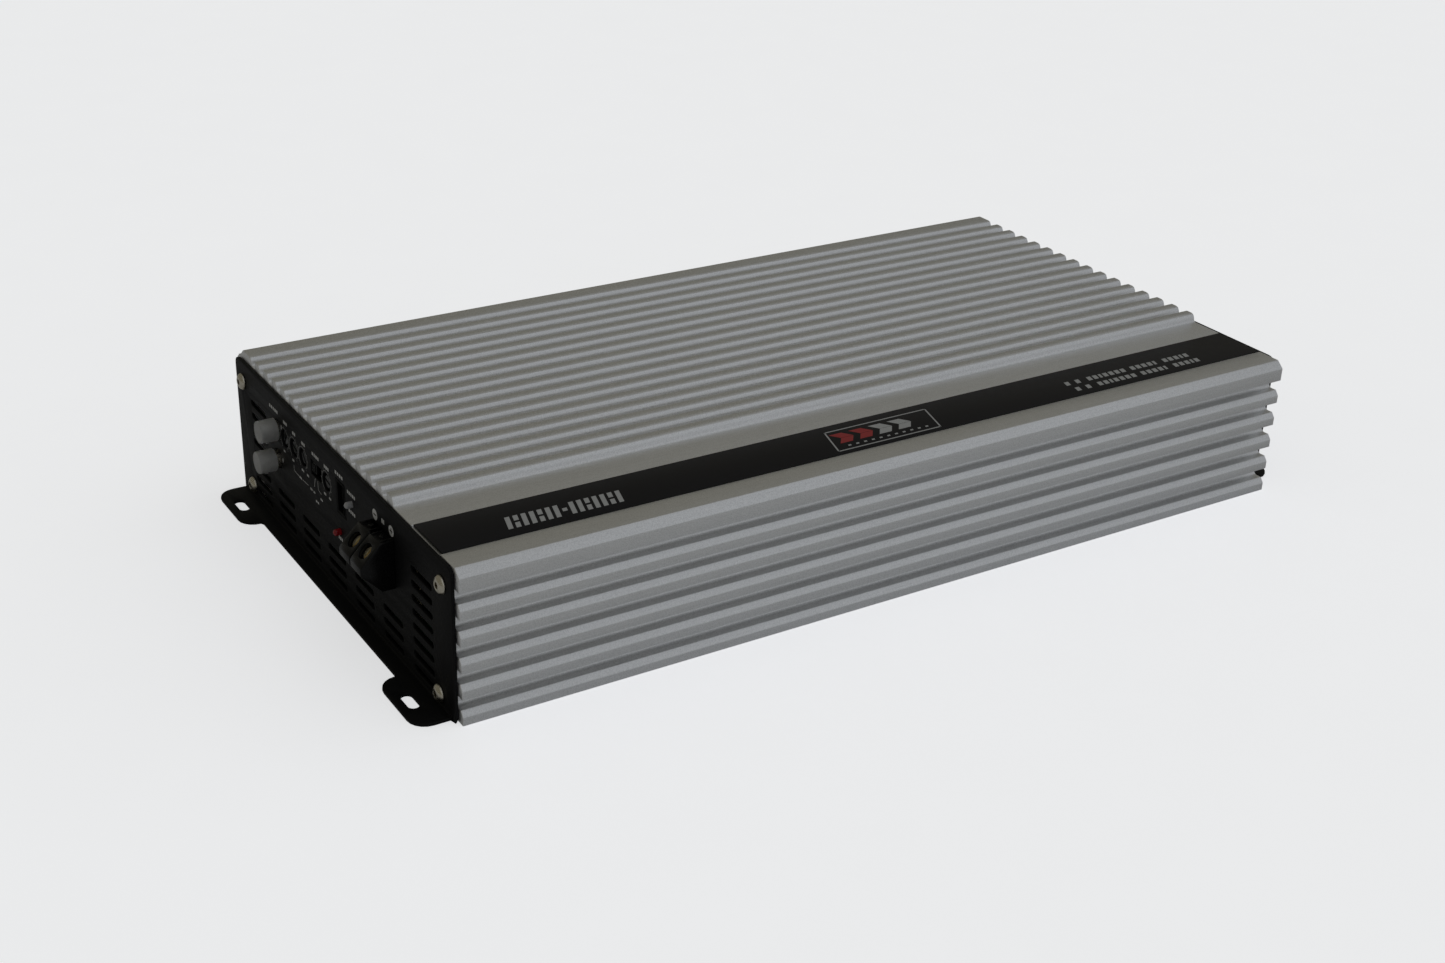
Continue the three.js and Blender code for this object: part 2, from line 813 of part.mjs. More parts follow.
function buildPort() {
  const front = -half.length - plateOuter;
  const body = box(
    [front, portAcross - portFaceWidth / 2, portHeight - portFaceHeight / 2],
    [-half.length + controlRear, portAcross + portFaceWidth / 2, portHeight + portFaceHeight / 2],
  );
  const reach = portFaceWidth / 2 - portWall;
  const ribStart = portRibInset + portWall - portFaceWidth / 2;
  const cavities = [[-reach, ribStart], [ribStart + portRibThickness, reach]].map(([low, high]) => box(
    [front - 1, portAcross + low, portHeight - portFaceHeight / 2 + portWall],
    [front + portDepth, portAcross + high, portHeight + portFaceHeight / 2 - portWall],
  ));
  addNode('remote_port', shaped(body, { cut: cavities }), 'blackPlastic');
}

function buildLed(name, led, finish) {
  const front = -half.length - plateOuter;
  const length = ledReach + plateOuter + controlRear;
  const straight = length - ledRadius;
  const flangeEnd = controlRear - 1;
  const profile = [
    [0, 0],
    [ledRadius + ledFlange, 0],
    [ledRadius + ledFlange, flangeEnd],
    [ledRadius, flangeEnd],
  ];
  for (let step = 0; step <= 5; step += 1) {
    const turn = (step / 5) * (Math.PI / 2);
    const radius = step === 5 ? 0 : ledRadius * Math.cos(turn);
    profile.push([radius, straight + ledRadius * Math.sin(turn)]);
  }
  const rear = [front + plateOuter + controlRear, led.across, led.height];
  addNode(name, turned(profile, 14, rear, [-1, 0, 0]), finish);
}

function buildJacks() {
  const heights = { upper: jackUpperHeight, lower: jackUpperHeight - jackPitch };
  const outer = -half.length - plateOuter;
  const tip = (reach) => outer - reach;
  const front = -half.length;
  const housing = box(
    [front, jackAcross - jackHousingWidth / 2, heights.lower - jackHousingMargin],
    [front + controlRear, jackAcross + jackHousingWidth / 2, heights.upper + jackHousingMargin],
  );
  const cores = [];
  const pins = [];
  const seats = [];
  Object.entries(heights).forEach(([which, height]) => {
    const point = (x) => [x, jackAcross, height];
    cores.push(rod(jackCoreRadius, point(front + 1), point(tip(jackCoreReach)), 18));
    pins.push(rod(jackPinRadius, point(front + 5), point(tip(jackCoreReach + 1)), 12));
    const ring = (inner, wide, from, to) => {
      const profile = [[inner, from], [wide, from], [wide, to], [inner, to], [inner, from]];
      return turned(profile, 24, point(0), [-1, 0, 0]);
    };
    const root = 1.2;
    seats.push(ring(
      jackRadius - jackWall - gap,
      jackRadius + gap,
      -front - root - gap,
      -front + 1,
    ));
    addNode(
      `jack_${which}_shell`,
      toGeometry(toSolid(ring(jackRadius - jackWall, jackRadius, -front - root, -tip(jackReach)))),
      'nickel',
    );
    const mouth = tip(capPush[which]);
    addNode(`jack_${which}_cap`, capGeometry(mouth, height), 'capPlastic');
  });
  addNode('jack_housing', shaped(housing, { add: cores, cut: [...seats, ...pins] }), 'whitePlastic');
}

function capGeometry(mouth, height) {
  const inner = jackRadius + gap;
  const outer = inner + capWall;
  const cup = turned(
    [
      [0, capLength - capEndWall],
      [inner, capLength - capEndWall],
      [inner, 0],
      [outer, 0],
      [outer, capLength - capEdge],
      [outer - capEdge * 0.3, capLength - capEdge * 0.3],
      [outer - capEdge, capLength],
      [0, capLength],
    ],
    28,
    [mouth, jackAcross, height],
    [-1, 0, 0],
  );
  const lug = box(
    [mouth - 3.2 - capLug, jackAcross - capLug / 2, height - outer - 0.9],
    [mouth - 3.2, jackAcross + capLug / 2, height - outer + capWall / 2],
  );
  return shaped(cup, { add: [lug] });
}

// Rounded ring lying flat on the board
function buildToroid(name, coil) {
  const edge = (coil.outer - coil.inner) * 0.24;
  const base = partsFloor;
  const top = base + coil.height;
  const profile = [
    [coil.inner, base + edge],
    [coil.inner + edge, base],
    [coil.outer - edge, base],
    [coil.outer, base + edge],
    [coil.outer, top - edge],
    [coil.outer - edge, top],
    [coil.inner + edge, top],
    [coil.inner, top - edge],
    [coil.inner, base + edge],
  ];
  addNode(name, turned(profile, 32, [coil.x, coil.y, 0], [0, 0, 1]), 'ferrite');
}

function buildPowerParts() {
  buildToroid('power_transformer', transformer);
  buildToroid('output_inductor', inductor);
  for (let i = 0; i < 3; i += 1) {
    const y = capacitorStart + i * capacitorPitch;
    const top = partsFloor + capacitorHeight;
    addNode(`capacitor_${i + 1}`, turned(
      [
        [0, partsFloor],
        [capacitorRadius, partsFloor],
        [capacitorRadius, top - 0.8],
        [capacitorRadius - 0.8, top],
        [0, top],
      ],
      24,
      [capacitorX, y, 0],
      [0, 0, 1],
    ), 'sleeve');
  }
  [-1, 1].forEach((side) => {
    const wall = side * (half.width - wallInner - gap);
    const reach = deviceBarLength / 2;
    const bar = box(
      [-reach, wall, partsFloor],
      [reach, wall - side * deviceBarThickness, partsFloor + deviceBarHeight],
    );
    const devices = Array.from({ length: deviceCount }, (_, i) => {
      const x = -reach + (deviceBarLength * (i + 0.5)) / deviceCount;
      return box(
        [x - deviceSize.length / 2, wall - side * (deviceBarThickness - 0.5), partsFloor + 2],
        [
          x + deviceSize.length / 2,
          wall - side * (deviceBarThickness + deviceSize.depth),
          partsFloor + 2 + deviceSize.height,
        ],
      );
    });
    addNode(`${side < 0 ? 'front' : 'back'}_power_devices`, shaped(bar, { add: devices }), 'sleeve');
  });
}

buildHeatsink();
buildStrip();
buildCover();
buildEndPlate('control', -1, controlWindows());
buildEndPlate('power', 1, [blockWindow(powerBlock)]);
buildPlateScrews('control', -1);
buildPlateScrews('power', 1);
buildTerminal(speakerBlock, 'speaker', -1);
buildTerminal(powerBlock, 'power', 1);
buildBoards();
buildPots();
buildSwitch();
buildPort();
buildLed('power_led', powerLed, 'redLens');
buildLed('clip_led', clipLed, 'clearLens');
buildJacks();
buildPowerParts();

export default amplifier;
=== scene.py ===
import json
import math
import bmesh
import bpy
from mathutils import Matrix, Vector


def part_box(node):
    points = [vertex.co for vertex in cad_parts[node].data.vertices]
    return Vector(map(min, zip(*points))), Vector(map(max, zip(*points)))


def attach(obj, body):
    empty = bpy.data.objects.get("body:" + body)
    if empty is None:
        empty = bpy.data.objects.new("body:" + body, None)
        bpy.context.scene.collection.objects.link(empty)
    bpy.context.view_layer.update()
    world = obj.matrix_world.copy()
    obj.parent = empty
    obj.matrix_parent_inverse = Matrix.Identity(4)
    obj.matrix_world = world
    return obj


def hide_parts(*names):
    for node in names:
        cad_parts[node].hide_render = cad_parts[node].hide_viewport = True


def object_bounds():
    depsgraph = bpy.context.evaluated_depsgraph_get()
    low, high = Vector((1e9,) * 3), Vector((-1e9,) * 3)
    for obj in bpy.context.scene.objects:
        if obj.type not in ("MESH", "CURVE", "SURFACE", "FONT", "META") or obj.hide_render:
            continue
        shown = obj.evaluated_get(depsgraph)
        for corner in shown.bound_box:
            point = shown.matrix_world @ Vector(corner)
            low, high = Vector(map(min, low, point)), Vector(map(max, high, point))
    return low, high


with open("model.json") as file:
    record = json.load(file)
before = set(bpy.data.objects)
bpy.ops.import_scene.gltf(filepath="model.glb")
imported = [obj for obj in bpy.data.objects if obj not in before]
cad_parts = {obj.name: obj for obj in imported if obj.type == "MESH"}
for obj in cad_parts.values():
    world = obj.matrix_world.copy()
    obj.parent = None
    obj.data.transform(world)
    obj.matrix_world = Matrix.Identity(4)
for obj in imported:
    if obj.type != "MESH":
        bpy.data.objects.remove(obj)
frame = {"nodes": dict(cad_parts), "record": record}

# Looks of a car audio amplifier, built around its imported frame. Sizes in the dictionaries are
# millimetres unless a note says otherwise, and the frame itself is in metres.
mm = 0.001
cadLow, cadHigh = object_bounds()
nodes = frame["nodes"]
bodyOf = {}
for bodyName, members in frame["record"]["behaviour"]["bodies"].items():
    for member in members:
        bodyOf[member] = bodyName


# Camera, floor and light

viewSettings = {
    "position": (-0.4713, -0.6921, 0.4131),     # metres
    "lookAt": (0.0165, 0.0612, -0.0280),        # metres
    "roll": 2.08,           # degrees, the right side drops
    "lens": 48.04,
    "sensor": 36,
    "clip": (0.02, 50),     # metres
}
studio = {
    "floorColour": (0.90, 0.905, 0.92),
    "floorSize": 14,        # metres
    "floorLift": 0.66,      # extra brightness of the floor as the camera sees it
    "skyColour": (0.50, 0.482, 0.405),
    "skyStrength": 0.315,
    "domeStrength": 0.55,
    "domeColour": (0.87, 0.95, 1.11),
    "domeSpread": 112,      # degrees across, so that its shadows are soft
    "domeFrom": (0.44, -0.62, 0.60),
}


def makeCamera():
    data = bpy.data.cameras.new("camera")
    data.lens = viewSettings["lens"]
    data.sensor_width = viewSettings["sensor"]
    data.clip_start, data.clip_end = viewSettings["clip"]
    camera = bpy.data.objects.new("camera", data)
    bpy.context.scene.collection.objects.link(camera)
    position = Vector(viewSettings["position"])
    aim = (Vector(viewSettings["lookAt"]) - position).to_track_quat("-Z", "Y").to_matrix().to_4x4()
    roll = Matrix.Rotation(math.radians(viewSettings["roll"]), 4, "Z")
    camera.matrix_world = Matrix.Translation(position) @ aim @ roll
    bpy.context.scene.camera = camera


def makeStudio():
    world = bpy.data.worlds.new("studio")
    world.use_nodes = True
    background = world.node_tree.nodes["Background"]
    background.inputs["Color"].default_value = (*studio["skyColour"], 1)
    background.inputs["Strength"].default_value = studio["skyStrength"]
    bpy.context.scene.world = world
    light = bpy.data.lights.new("dome", "SUN")
    light.energy = studio["domeStrength"]
    light.color = studio["domeColour"]
    light.angle = math.radians(studio["domeSpread"])
    dome = bpy.data.objects.new("dome", light)
    dome.rotation_euler = Vector(studio["domeFrom"]).to_track_quat("Z", "Y").to_euler()
    bpy.context.scene.collection.objects.link(dome)
    bpy.context.scene.view_settings.view_transform = "Standard"


makeCamera()
makeStudio()
print("camera and studio placed")


# Materials: every finish is built from a few layers of noise in object coordinates

def addNode(tree, kind, values=None, **settings):
    made = tree.nodes.new(kind)
    for key, value in settings.items():
        setattr(made, key, value)
    for socket, value in (values or {}).items():
        made.inputs[socket].default_value = value
    return made


def layeredHeight(tree, layers):
    coordinates = addNode(tree, "ShaderNodeTexCoord")
    total = None
    for size, stretch, weight in layers:
        mapping = addNode(tree, "ShaderNodeMapping", {"Scale": [1 / (size * mm * s) for s in stretch]})
        noise = addNode(tree, "ShaderNodeTexNoise", {"Scale": 1, "Detail": 2})
        tree.links.new(coordinates.outputs["Object"], mapping.inputs["Vector"])
        tree.links.new(mapping.outputs["Vector"], noise.inputs["Vector"])
        weighted = addNode(tree, "ShaderNodeMath", {1: weight, 2: 0}, operation="MULTIPLY_ADD")
        tree.links.new(noise.outputs["Fac"], weighted.inputs[0])
        if total:
            tree.links.new(total, weighted.inputs[2])
        total = weighted.outputs[0]
    return total


noiseSpan = (0.3, 0.7)      # the part of the noise's range that a finish is spread over


def texturedMaterial(name, look):
    material = bpy.data.materials.new(name)
    material.use_nodes = True
    tree = material.node_tree
    shader = tree.nodes["Principled BSDF"]
    height = layeredHeight(tree, look["layers"])
    ramp = addNode(tree, "ShaderNodeValToRGB")
    for element, position, colour in zip(ramp.color_ramp.elements, noiseSpan, (look["dark"], look["light"])):
        element.position = position
        element.color = (*colour, 1)
    tree.links.new(height, ramp.inputs["Fac"])
    tree.links.new(ramp.outputs["Color"], shader.inputs["Base Color"])
    smooth, coarse = look["roughness"]
    rough = addNode(tree, "ShaderNodeMapRange", {
        "From Min": noiseSpan[0], "From Max": noiseSpan[1], "To Min": smooth, "To Max": coarse,
    })
    tree.links.new(height, rough.inputs["Value"])
    tree.links.new(rough.outputs["Result"], shader.inputs["Roughness"])
    bump = addNode(tree, "ShaderNodeBump", {"Strength": look["bump"], "Distance": look["bumpDepth"] * mm})
    tree.links.new(height, bump.inputs["Height"])
    tree.links.new(bump.outputs["Normal"], shader.inputs["Normal"])
    for socket, value in look.get("constants", {}).items():
        shader.inputs[socket].default_value = value
    return material


even = (1, 1, 1)
finishes = {
    # bead-blasted and clear anodised: a fine sparkle over faint draw lines along the extrusion
    "aluminium": {
        "light": (0.97, 0.97, 0.97),
        "dark": (0.66, 0.66, 0.66),
        "layers": [(0.46, even, 0.66), (1.1, even, 0.18), (0.5, (60, 1, 1), 0.16)],
        "roughness": (0.34, 0.54),
        "bump": 0.8,
        "bumpDepth": 0.08,
        "constants": {"Metallic": 0.92},
    },
    # fine-textured matt powder coat
    "powderCoat": {
        "light": (0.0085, 0.0085, 0.009),
        "dark": (0.004, 0.004, 0.0044),
        "layers": [(0.35, even, 0.6), (1.2, even, 0.4)],
        "roughness": (0.5, 0.66),
        "bump": 0.45,
        "bumpDepth": 0.06,
        "constants": {"Specular IOR Level": 0.12},
    },
    "stripFilm": {
        "light": (0.020, 0.0192, 0.021),
        "dark": (0.012, 0.0116, 0.013),
        "layers": [(0.25, even, 0.7), (3, even, 0.3)],
        "roughness": (0.42, 0.54),
        "bump": 0.25,
        "bumpDepth": 0.03,
        "constants": {"Specular IOR Level": 0.12},
    },
    "nickel": {
        "light": (0.76, 0.71, 0.60),
        "dark": (0.56, 0.52, 0.43),
        "layers": [(0.4, even, 0.6), (2, even, 0.4)],
        "roughness": (0.2, 0.34),
        "bump": 0.15,
        "bumpDepth": 0.02,
        "constants": {"Metallic": 1},
    },
    "brass": {
        "light": (0.94, 0.86, 0.64),
        "dark": (0.76, 0.66, 0.44),
        "layers": [(0.3, even, 0.5), (1.5, (1, 6, 1), 0.5)],
        "roughness": (0.24, 0.42),
        "bump": 0.2,
        "bumpDepth": 0.03,
        "constants": {"Metallic": 1},
    },
    "blackPlastic": {
        "light": (0.006, 0.006, 0.0059),
        "dark": (0.003, 0.003, 0.003),
        "layers": [(0.2, even, 0.6), (1.6, even, 0.4)],
        "roughness": (0.2, 0.3),
        "bump": 0.3,
        "bumpDepth": 0.03,
        "constants": {"Specular IOR Level": 0.22},
    },
    "portPlastic": {
        "light": (0.0035, 0.0035, 0.0035),
        "dark": (0.0015, 0.0015, 0.0015),
        "layers": [(0.2, even, 0.6), (1.6, even, 0.4)],
        "roughness": (0.5, 0.62),
        "bump": 0.3,
        "bumpDepth": 0.03,
        "constants": {"Specular IOR Level": 0.05},
    },
    # cloudy, half-clear soft plastic of the push-on caps
    "capPlastic": {
        "light": (0.77, 0.77, 0.765),
        "dark": (0.64, 0.64, 0.638),
        "layers": [(0.6, even, 0.4), (3, even, 0.6)],
        "roughness": (0.3, 0.42),
        "bump": 0.15,
        "bumpDepth": 0.05,
        "constants": {"Transmission Weight": 0.68, "IOR": 1.4},
    },
    "whitePlastic": {
        "light": (0.72, 0.72, 0.70),
        "dark": (0.62, 0.62, 0.60),
        "layers": [(0.3, even, 0.5), (2, even, 0.5)],
        "roughness": (0.4, 0.5),
        "bump": 0.2,
        "bumpDepth": 0.03,
    },
    "redLens": {
        "light": (0.46, 0.010, 0.018),
        "dark": (0.30, 0.006, 0.012),
        "layers": [(0.8, even, 1.0)],
        "roughness": (0.12, 0.2),
        "bump": 0.05,
        "bumpDepth": 0.02,
        "constants": {"Transmission Weight": 0.25},
    },
    "clearLens": {
        "light": (0.80, 0.80, 0.82),
        "dark": (0.66, 0.66, 0.68),
        "layers": [(0.8, even, 1.0)],
        "roughness": (0.08, 0.16),
        "bump": 0.05,
        "bumpDepth": 0.02,
        "constants": {"Transmission Weight": 0.5},
    },
    "solderMask": {
        "light": (0.020, 0.085, 0.040),
        "dark": (0.010, 0.045, 0.022),
        "layers": [(1.2, (8, 1, 1), 0.5), (0.9, (1, 8, 1), 0.5)],
        "roughness": (0.28, 0.5),
        "bump": 0.4,
        "bumpDepth": 0.05,
    },
    "magnetWire": {
        "light": (0.42, 0.17, 0.05),
        "dark": (0.26, 0.09, 0.025),
        "layers": [(0.5, even, 0.5), (4, even, 0.5)],
        "roughness": (0.22, 0.36),
        "bump": 0.2,
        "bumpDepth": 0.04,
        "constants": {"Metallic": 0.6, "Coat Weight": 0.4},
    },
    "sleeve": {
        "light": (0.020, 0.028, 0.050),
        "dark": (0.012, 0.017, 0.032),
        "layers": [(0.4, even, 0.4), (5, even, 0.6)],
        "roughness": (0.26, 0.4),
        "bump": 0.15,
        "bumpDepth": 0.04,
    },
    "devices": {
        "light": (0.030, 0.030, 0.031),
        "dark": (0.016, 0.016, 0.017),
        "layers": [(0.25, even, 0.6), (2, even, 0.4)],
        "roughness": (0.5, 0.64),
        "bump": 0.35,
        "bumpDepth": 0.04,
    },
    "greyInk": {
        "light": (0.62, 0.63, 0.64),
        "dark": (0.48, 0.49, 0.50),
        "layers": [(0.25, even, 0.7), (2, even, 0.3)],
        "roughness": (0.4, 0.52),
        "bump": 0.1,
        "bumpDepth": 0.01,
        "constants": {"Metallic": 0.3},
    },
    "dimInk": {
        "light": (0.30, 0.30, 0.30),
        "dark": (0.20, 0.20, 0.20),
        "layers": [(0.25, even, 0.7), (2, even, 0.3)],
        "roughness": (0.5, 0.6),
        "bump": 0.1,
        "bumpDepth": 0.01,
    },
    "whiteInk": {
        "light": (0.74, 0.74, 0.74),
        "dark": (0.58, 0.58, 0.58),
        "layers": [(0.25, even, 0.7), (2, even, 0.3)],
        "roughness": (0.5, 0.6),
        "bump": 0.1,
        "bumpDepth": 0.01,
    },
    "redInk": {
        "light": (0.46, 0.030, 0.034),
        "dark": (0.34, 0.020, 0.024),
        "layers": [(0.25, even, 0.7), (2, even, 0.3)],
        "roughness": (0.4, 0.52),
        "bump": 0.1,
        "bumpDepth": 0.01,
    },
    "gold": {
        "light": (0.80, 0.60, 0.26),
        "dark": (0.66, 0.46, 0.18),
        "layers": [(0.3, even, 1.0)],
        "roughness": (0.18, 0.3),
        "bump": 0.1,
        "bumpDepth": 0.02,
        "constants": {"Metallic": 1},
    },
}
materials = {name: texturedMaterial(name, look) for name, look in finishes.items()}
print("materials made:", len(materials))


# Shared mesh helpers

def floorPlane():
    bm = bmesh.new()
    bmesh.ops.create_grid(bm, x_segments=4, y_segments=4, size=studio["floorSize"] / 2)
    mesh = bpy.data.meshes.new("floor")
    bm.to_mesh(mesh)
    bm.free()
    floor = bpy.data.objects.new("floor", mesh)
    material = texturedMaterial("floor", {
        "light": studio["floorColour"],
        "dark": [0.985 * part for part in studio["floorColour"]],
        "layers": [(40, even, 1.0)],
        "roughness": (0.6, 0.7),
        "bump": 0.02,
        "bumpDepth": 0.05,
        "constants": {"Specular IOR Level": 0.2, "Emission Color": (*studio["floorColour"], 1)},
    })
    tree = material.node_tree
    lift = addNode(tree, "ShaderNodeMath", {1: studio["floorLift"]}, operation="MULTIPLY")
    ray = addNode(tree, "ShaderNodeLightPath")
    tree.links.new(ray.outputs["Is Camera Ray"], lift.inputs[0])
    tree.links.new(lift.outputs[0], tree.nodes["Principled BSDF"].inputs["Emission Strength"])
    floor.data.materials.append(material)
    bpy.context.scene.collection.objects.link(floor)


def addPiece(bm, name, finish, body, replaced=(), flatWidth=1.2, sharpAngle=38):
    # wide faces stay flat and narrow ones shade round, so bevels catch the light cleanly
    bm.normal_update()
    for face in bm.faces:
        longest = max(edge.calc_length() for edge in face.edges)
        square = max(abs(part) for part in face.normal) > 0.99999
        narrow = face.calc_area() / longest < flatWidth * mm
        face.smooth = len(face.verts) < 5 and narrow and not square
    mesh = bpy.data.meshes.new(name)
    bm.to_mesh(mesh)
    bm.free()
    mesh.set_sharp_from_angle(angle=math.radians(sharpAngle))
    mesh.materials.append(materials[finish])
    piece = bpy.data.objects.new(name, mesh)
    bpy.context.scene.collection.objects.link(piece)
    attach(piece, body)
    if replaced:
        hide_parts(*replaced)


def mergedCopy(nodeName):
    bm = bmesh.new()
    bm.from_mesh(nodes[nodeName].data)
    bmesh.ops.remove_doubles(bm, verts=bm.verts, dist=0.002 * mm)
    bmesh.ops.dissolve_limit(bm, angle_limit=math.radians(0.5), verts=bm.verts, edges=bm.edges)
    return bm


def roundEdges(bm, width, steps=2, angle=30, chosen=None):
    edges = [
        edge for edge in bm.edges
        if edge.is_manifold and edge.calc_face_angle(0) > math.radians(angle)
        and (chosen is None or chosen(edge))
    ]
    bmesh.ops.bevel(
        bm, geom=edges, offset=width * mm, offset_type="OFFSET", segments=steps,
        profile=0.5, affect="EDGES", material=-1,
    )
    bmesh.ops.dissolve_degenerate(bm, dist=0.001 * mm, edges=bm.edges)


def addTo(target, source):
    carrier = bpy.data.meshes.new("carrier")
    source.to_mesh(carrier)
    source.free()
    target.from_mesh(carrier)
    bpy.data.meshes.remove(carrier)


def spun(profile, steps=48, closed=False):
    # profile is (radius, height) from axis to axis, or a closed loop
    bm = bmesh.new()
    points = [bm.verts.new((radius * mm, 0, height * mm)) for radius, height in profile]
    edges = [bm.edges.new(pair) for pair in zip(points, points[1:])]
    if closed:
        edges.append(bm.edges.new((points[-1], points[0])))
    bmesh.ops.spin(
        bm, geom=points + edges, cent=(0, 0, 0), axis=(0, 0, 1), angle=2 * math.pi,
        steps=steps, use_merge=True,
    )
    bmesh.ops.remove_doubles(bm, verts=bm.verts, dist=0.001 * mm)
    bmesh.ops.recalc_face_normals(bm, faces=bm.faces)
    return bm


def arc(middle, radius, start, end, steps=6):
    turns = [math.radians(start + (end - start) * i / steps) for i in range(steps + 1)]
    return [(middle[0] + radius * math.cos(t), middle[1] + radius * math.sin(t)) for t in turns]


def block(size, middle=(0, 0, 0), bevel=0, steps=2):
    bm = bmesh.new()
    place = Matrix.Translation(Vector(middle) * mm) @ Matrix.Diagonal((*[s * mm for s in size], 1))
    bmesh.ops.create_cube(bm, size=1, matrix=place)
    if bevel:
        roundEdges(bm, bevel, steps)
    return bm


def laid(bm, origin, direction):
    # origin in metres; the piece's own Z goes along the direction
    turn = Vector((0, 0, 1)).rotation_difference(Vector(direction)).to_matrix().to_4x4()
    bmesh.ops.transform(bm, matrix=Matrix.Translation(Vector(origin)) @ turn, verts=bm.verts)
    return bm


def cutBy(bm, cutters):
    # booleans are made with the modifier on a throwaway object, then read back
    def throwaway(form, name):
        mesh = bpy.data.meshes.new(name)
        form.to_mesh(mesh)
        form.free()
        made = bpy.data.objects.new(name, mesh)
        bpy.context.scene.collection.objects.link(made)
        return made

    base = throwaway(bm, "base")
    tools = [throwaway(cutter, "cutter") for cutter in cutters]
    for tool in tools:
        change = base.modifiers.new("cut", "BOOLEAN")
        change.operation = "DIFFERENCE"
        change.solver = "EXACT"
        change.object = tool
    bpy.context.view_layer.update()
    shaped = base.evaluated_get(bpy.context.evaluated_depsgraph_get()).to_mesh()
    result = bmesh.new()
    result.from_mesh(shaped)
    for used in [base, *tools]:
        mesh = used.data
        bpy.data.objects.remove(used)
        bpy.data.meshes.remove(mesh)
    return result


def middleOf(nodeName):
    low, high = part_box(nodeName)
    return (low + high) / 2


def standFor(nodeName, bm, finish, **shading):
    addPiece(bm, nodeName + "_piece", finish, bodyOf[nodeName], [nodeName], **shading)


def refine(nodeName, finish, width, steps=2, angle=30):
    bm = mergedCopy(nodeName)
    roundEdges(bm, width, steps, angle)
    standFor(nodeName, bm, finish)


floorPlane()


# Extruded heatsink body

heatsink = {"edgeWidth": 0.28, "edgeSteps": 2, "angle": 9}
refine("heatsink_body", "aluminium", heatsink["edgeWidth"], heatsink["edgeSteps"], heatsink["angle"])
print("heatsink done")


# Label strip with its printed marks. The marks are plain bars and chevrons, no lettering.

labelStrip = {
    "edgeWidth": 0.12,
    "fill": 0.25,           # widened on each side, to close the gap beside it
    "inkDepth": 0.04,
    "leftStart": 31.5,      # from the control end of the strip
    "leftBars": 15,
    "leftBar": 2.1,
    "leftGap": 1.38,
    "leftHeight": 9.6,
    "leftDown": 3.2,        # below the middle of the strip
    "badgeAlong": -1.5,
    "badgeSize": (54, 18),
    "badgeDown": 1.4,
    "badgeLine": 0.7,
    "chevrons": 4,
    "redChevrons": 2,
    "chevronPitch": 0.19,   # parts of the badge's width, as is the arm
    "chevronArm": (0.12, 4.4),
    "chevronRise": 2.3,
    "chevronLean": 0.75,
    "ticks": 11,
    "tickPitch": 4.1,
    "tickSize": (1.5, 1.1),
    "rowsStart": 103,
    "rowsHeights": (-0.4, -7.2),
    "rowDash": (2.5, 3.6),
    "rowPlaces": 23,
    "rowSpaces": (1, 3, 11, 17),    # places left empty, like the spaces between words
    "rowGap": 1.1,
    "rowShift": 0.6,
    "slant": 0.28,
}


def surfacePlace(origin, right, up):
    right, up = Vector(right), Vector(up)
    out = right.cross(up)
    turn = Matrix((right, up, out)).transposed().to_4x4()
    return Matrix.Translation(Vector(origin)) @ turn


def stampBar(bm, across, up, width, height, depth, slant=0, turn=0):
    bar = block((width, height, 2 * depth))
    for vert in bar.verts:
        vert.co.x += slant * vert.co.y
    place = Matrix.Translation((across * mm, up * mm, 0)) @ Matrix.Rotation(turn, 4, "Z")
    bmesh.ops.transform(bar, matrix=place, verts=bar.verts)
    addTo(bm, bar)


def stampLine(bm, points, width, depth):
    for (a, b), (c, d) in zip(points, points[1:]):
        length = math.hypot(c - a, d - b) + width
        stampBar(bm, (a + c) / 2, (b + d) / 2, length, width, depth, turn=math.atan2(d - b, c - a))


def stampRing(bm, across, up, radius, width, depth, start=0, sweep=360, steps=40):
    ring = bmesh.new()
    inner, outer = radius - width / 2, radius + width / 2
    corners = [(inner, -depth), (outer, -depth), (outer, depth), (inner, depth)]
    points = [ring.verts.new((r * mm, 0, h * mm)) for r, h in corners]
    face = ring.faces.new(points)
    bmesh.ops.rotate(ring, cent=(0, 0, 0), matrix=Matrix.Rotation(math.radians(start), 3, "Z"), verts=points)
    whole = sweep == 360
    geom = points + list(face.edges) + ([] if whole else [face])
    if whole:
        ring.faces.remove(face)
        geom = [*ring.verts, *ring.edges]
    bmesh.ops.spin(
        ring, geom=geom, cent=(0, 0, 0), axis=(0, 0, 1), angle=math.radians(sweep),
        steps=steps, use_merge=whole,
    )
    bmesh.ops.remove_doubles(ring, verts=ring.verts, dist=0.001 * mm)
    bmesh.ops.recalc_face_normals(ring, faces=ring.faces)
    bmesh.ops.translate(ring, vec=(across * mm, up * mm, 0), verts=ring.verts)
    addTo(bm, ring)


def stampDisc(bm, across, up, radius, depth, sides=32, turn=0):
    disc = bmesh.new()
    place = Matrix.Translation((across * mm, up * mm, 0)) @ Matrix.Rotation(turn, 4, "Z")
    bmesh.ops.create_cone(
        disc, cap_ends=True, segments=sides, radius1=radius * mm, radius2=radius * mm,
        depth=2 * depth * mm, matrix=place,
    )
    addTo(bm, disc)


def finishStamp(bm, name, place, ink):
    bmesh.ops.transform(bm, matrix=place, verts=bm.verts)
    addPiece(bm, name, ink, "chassis", flatWidth=0)


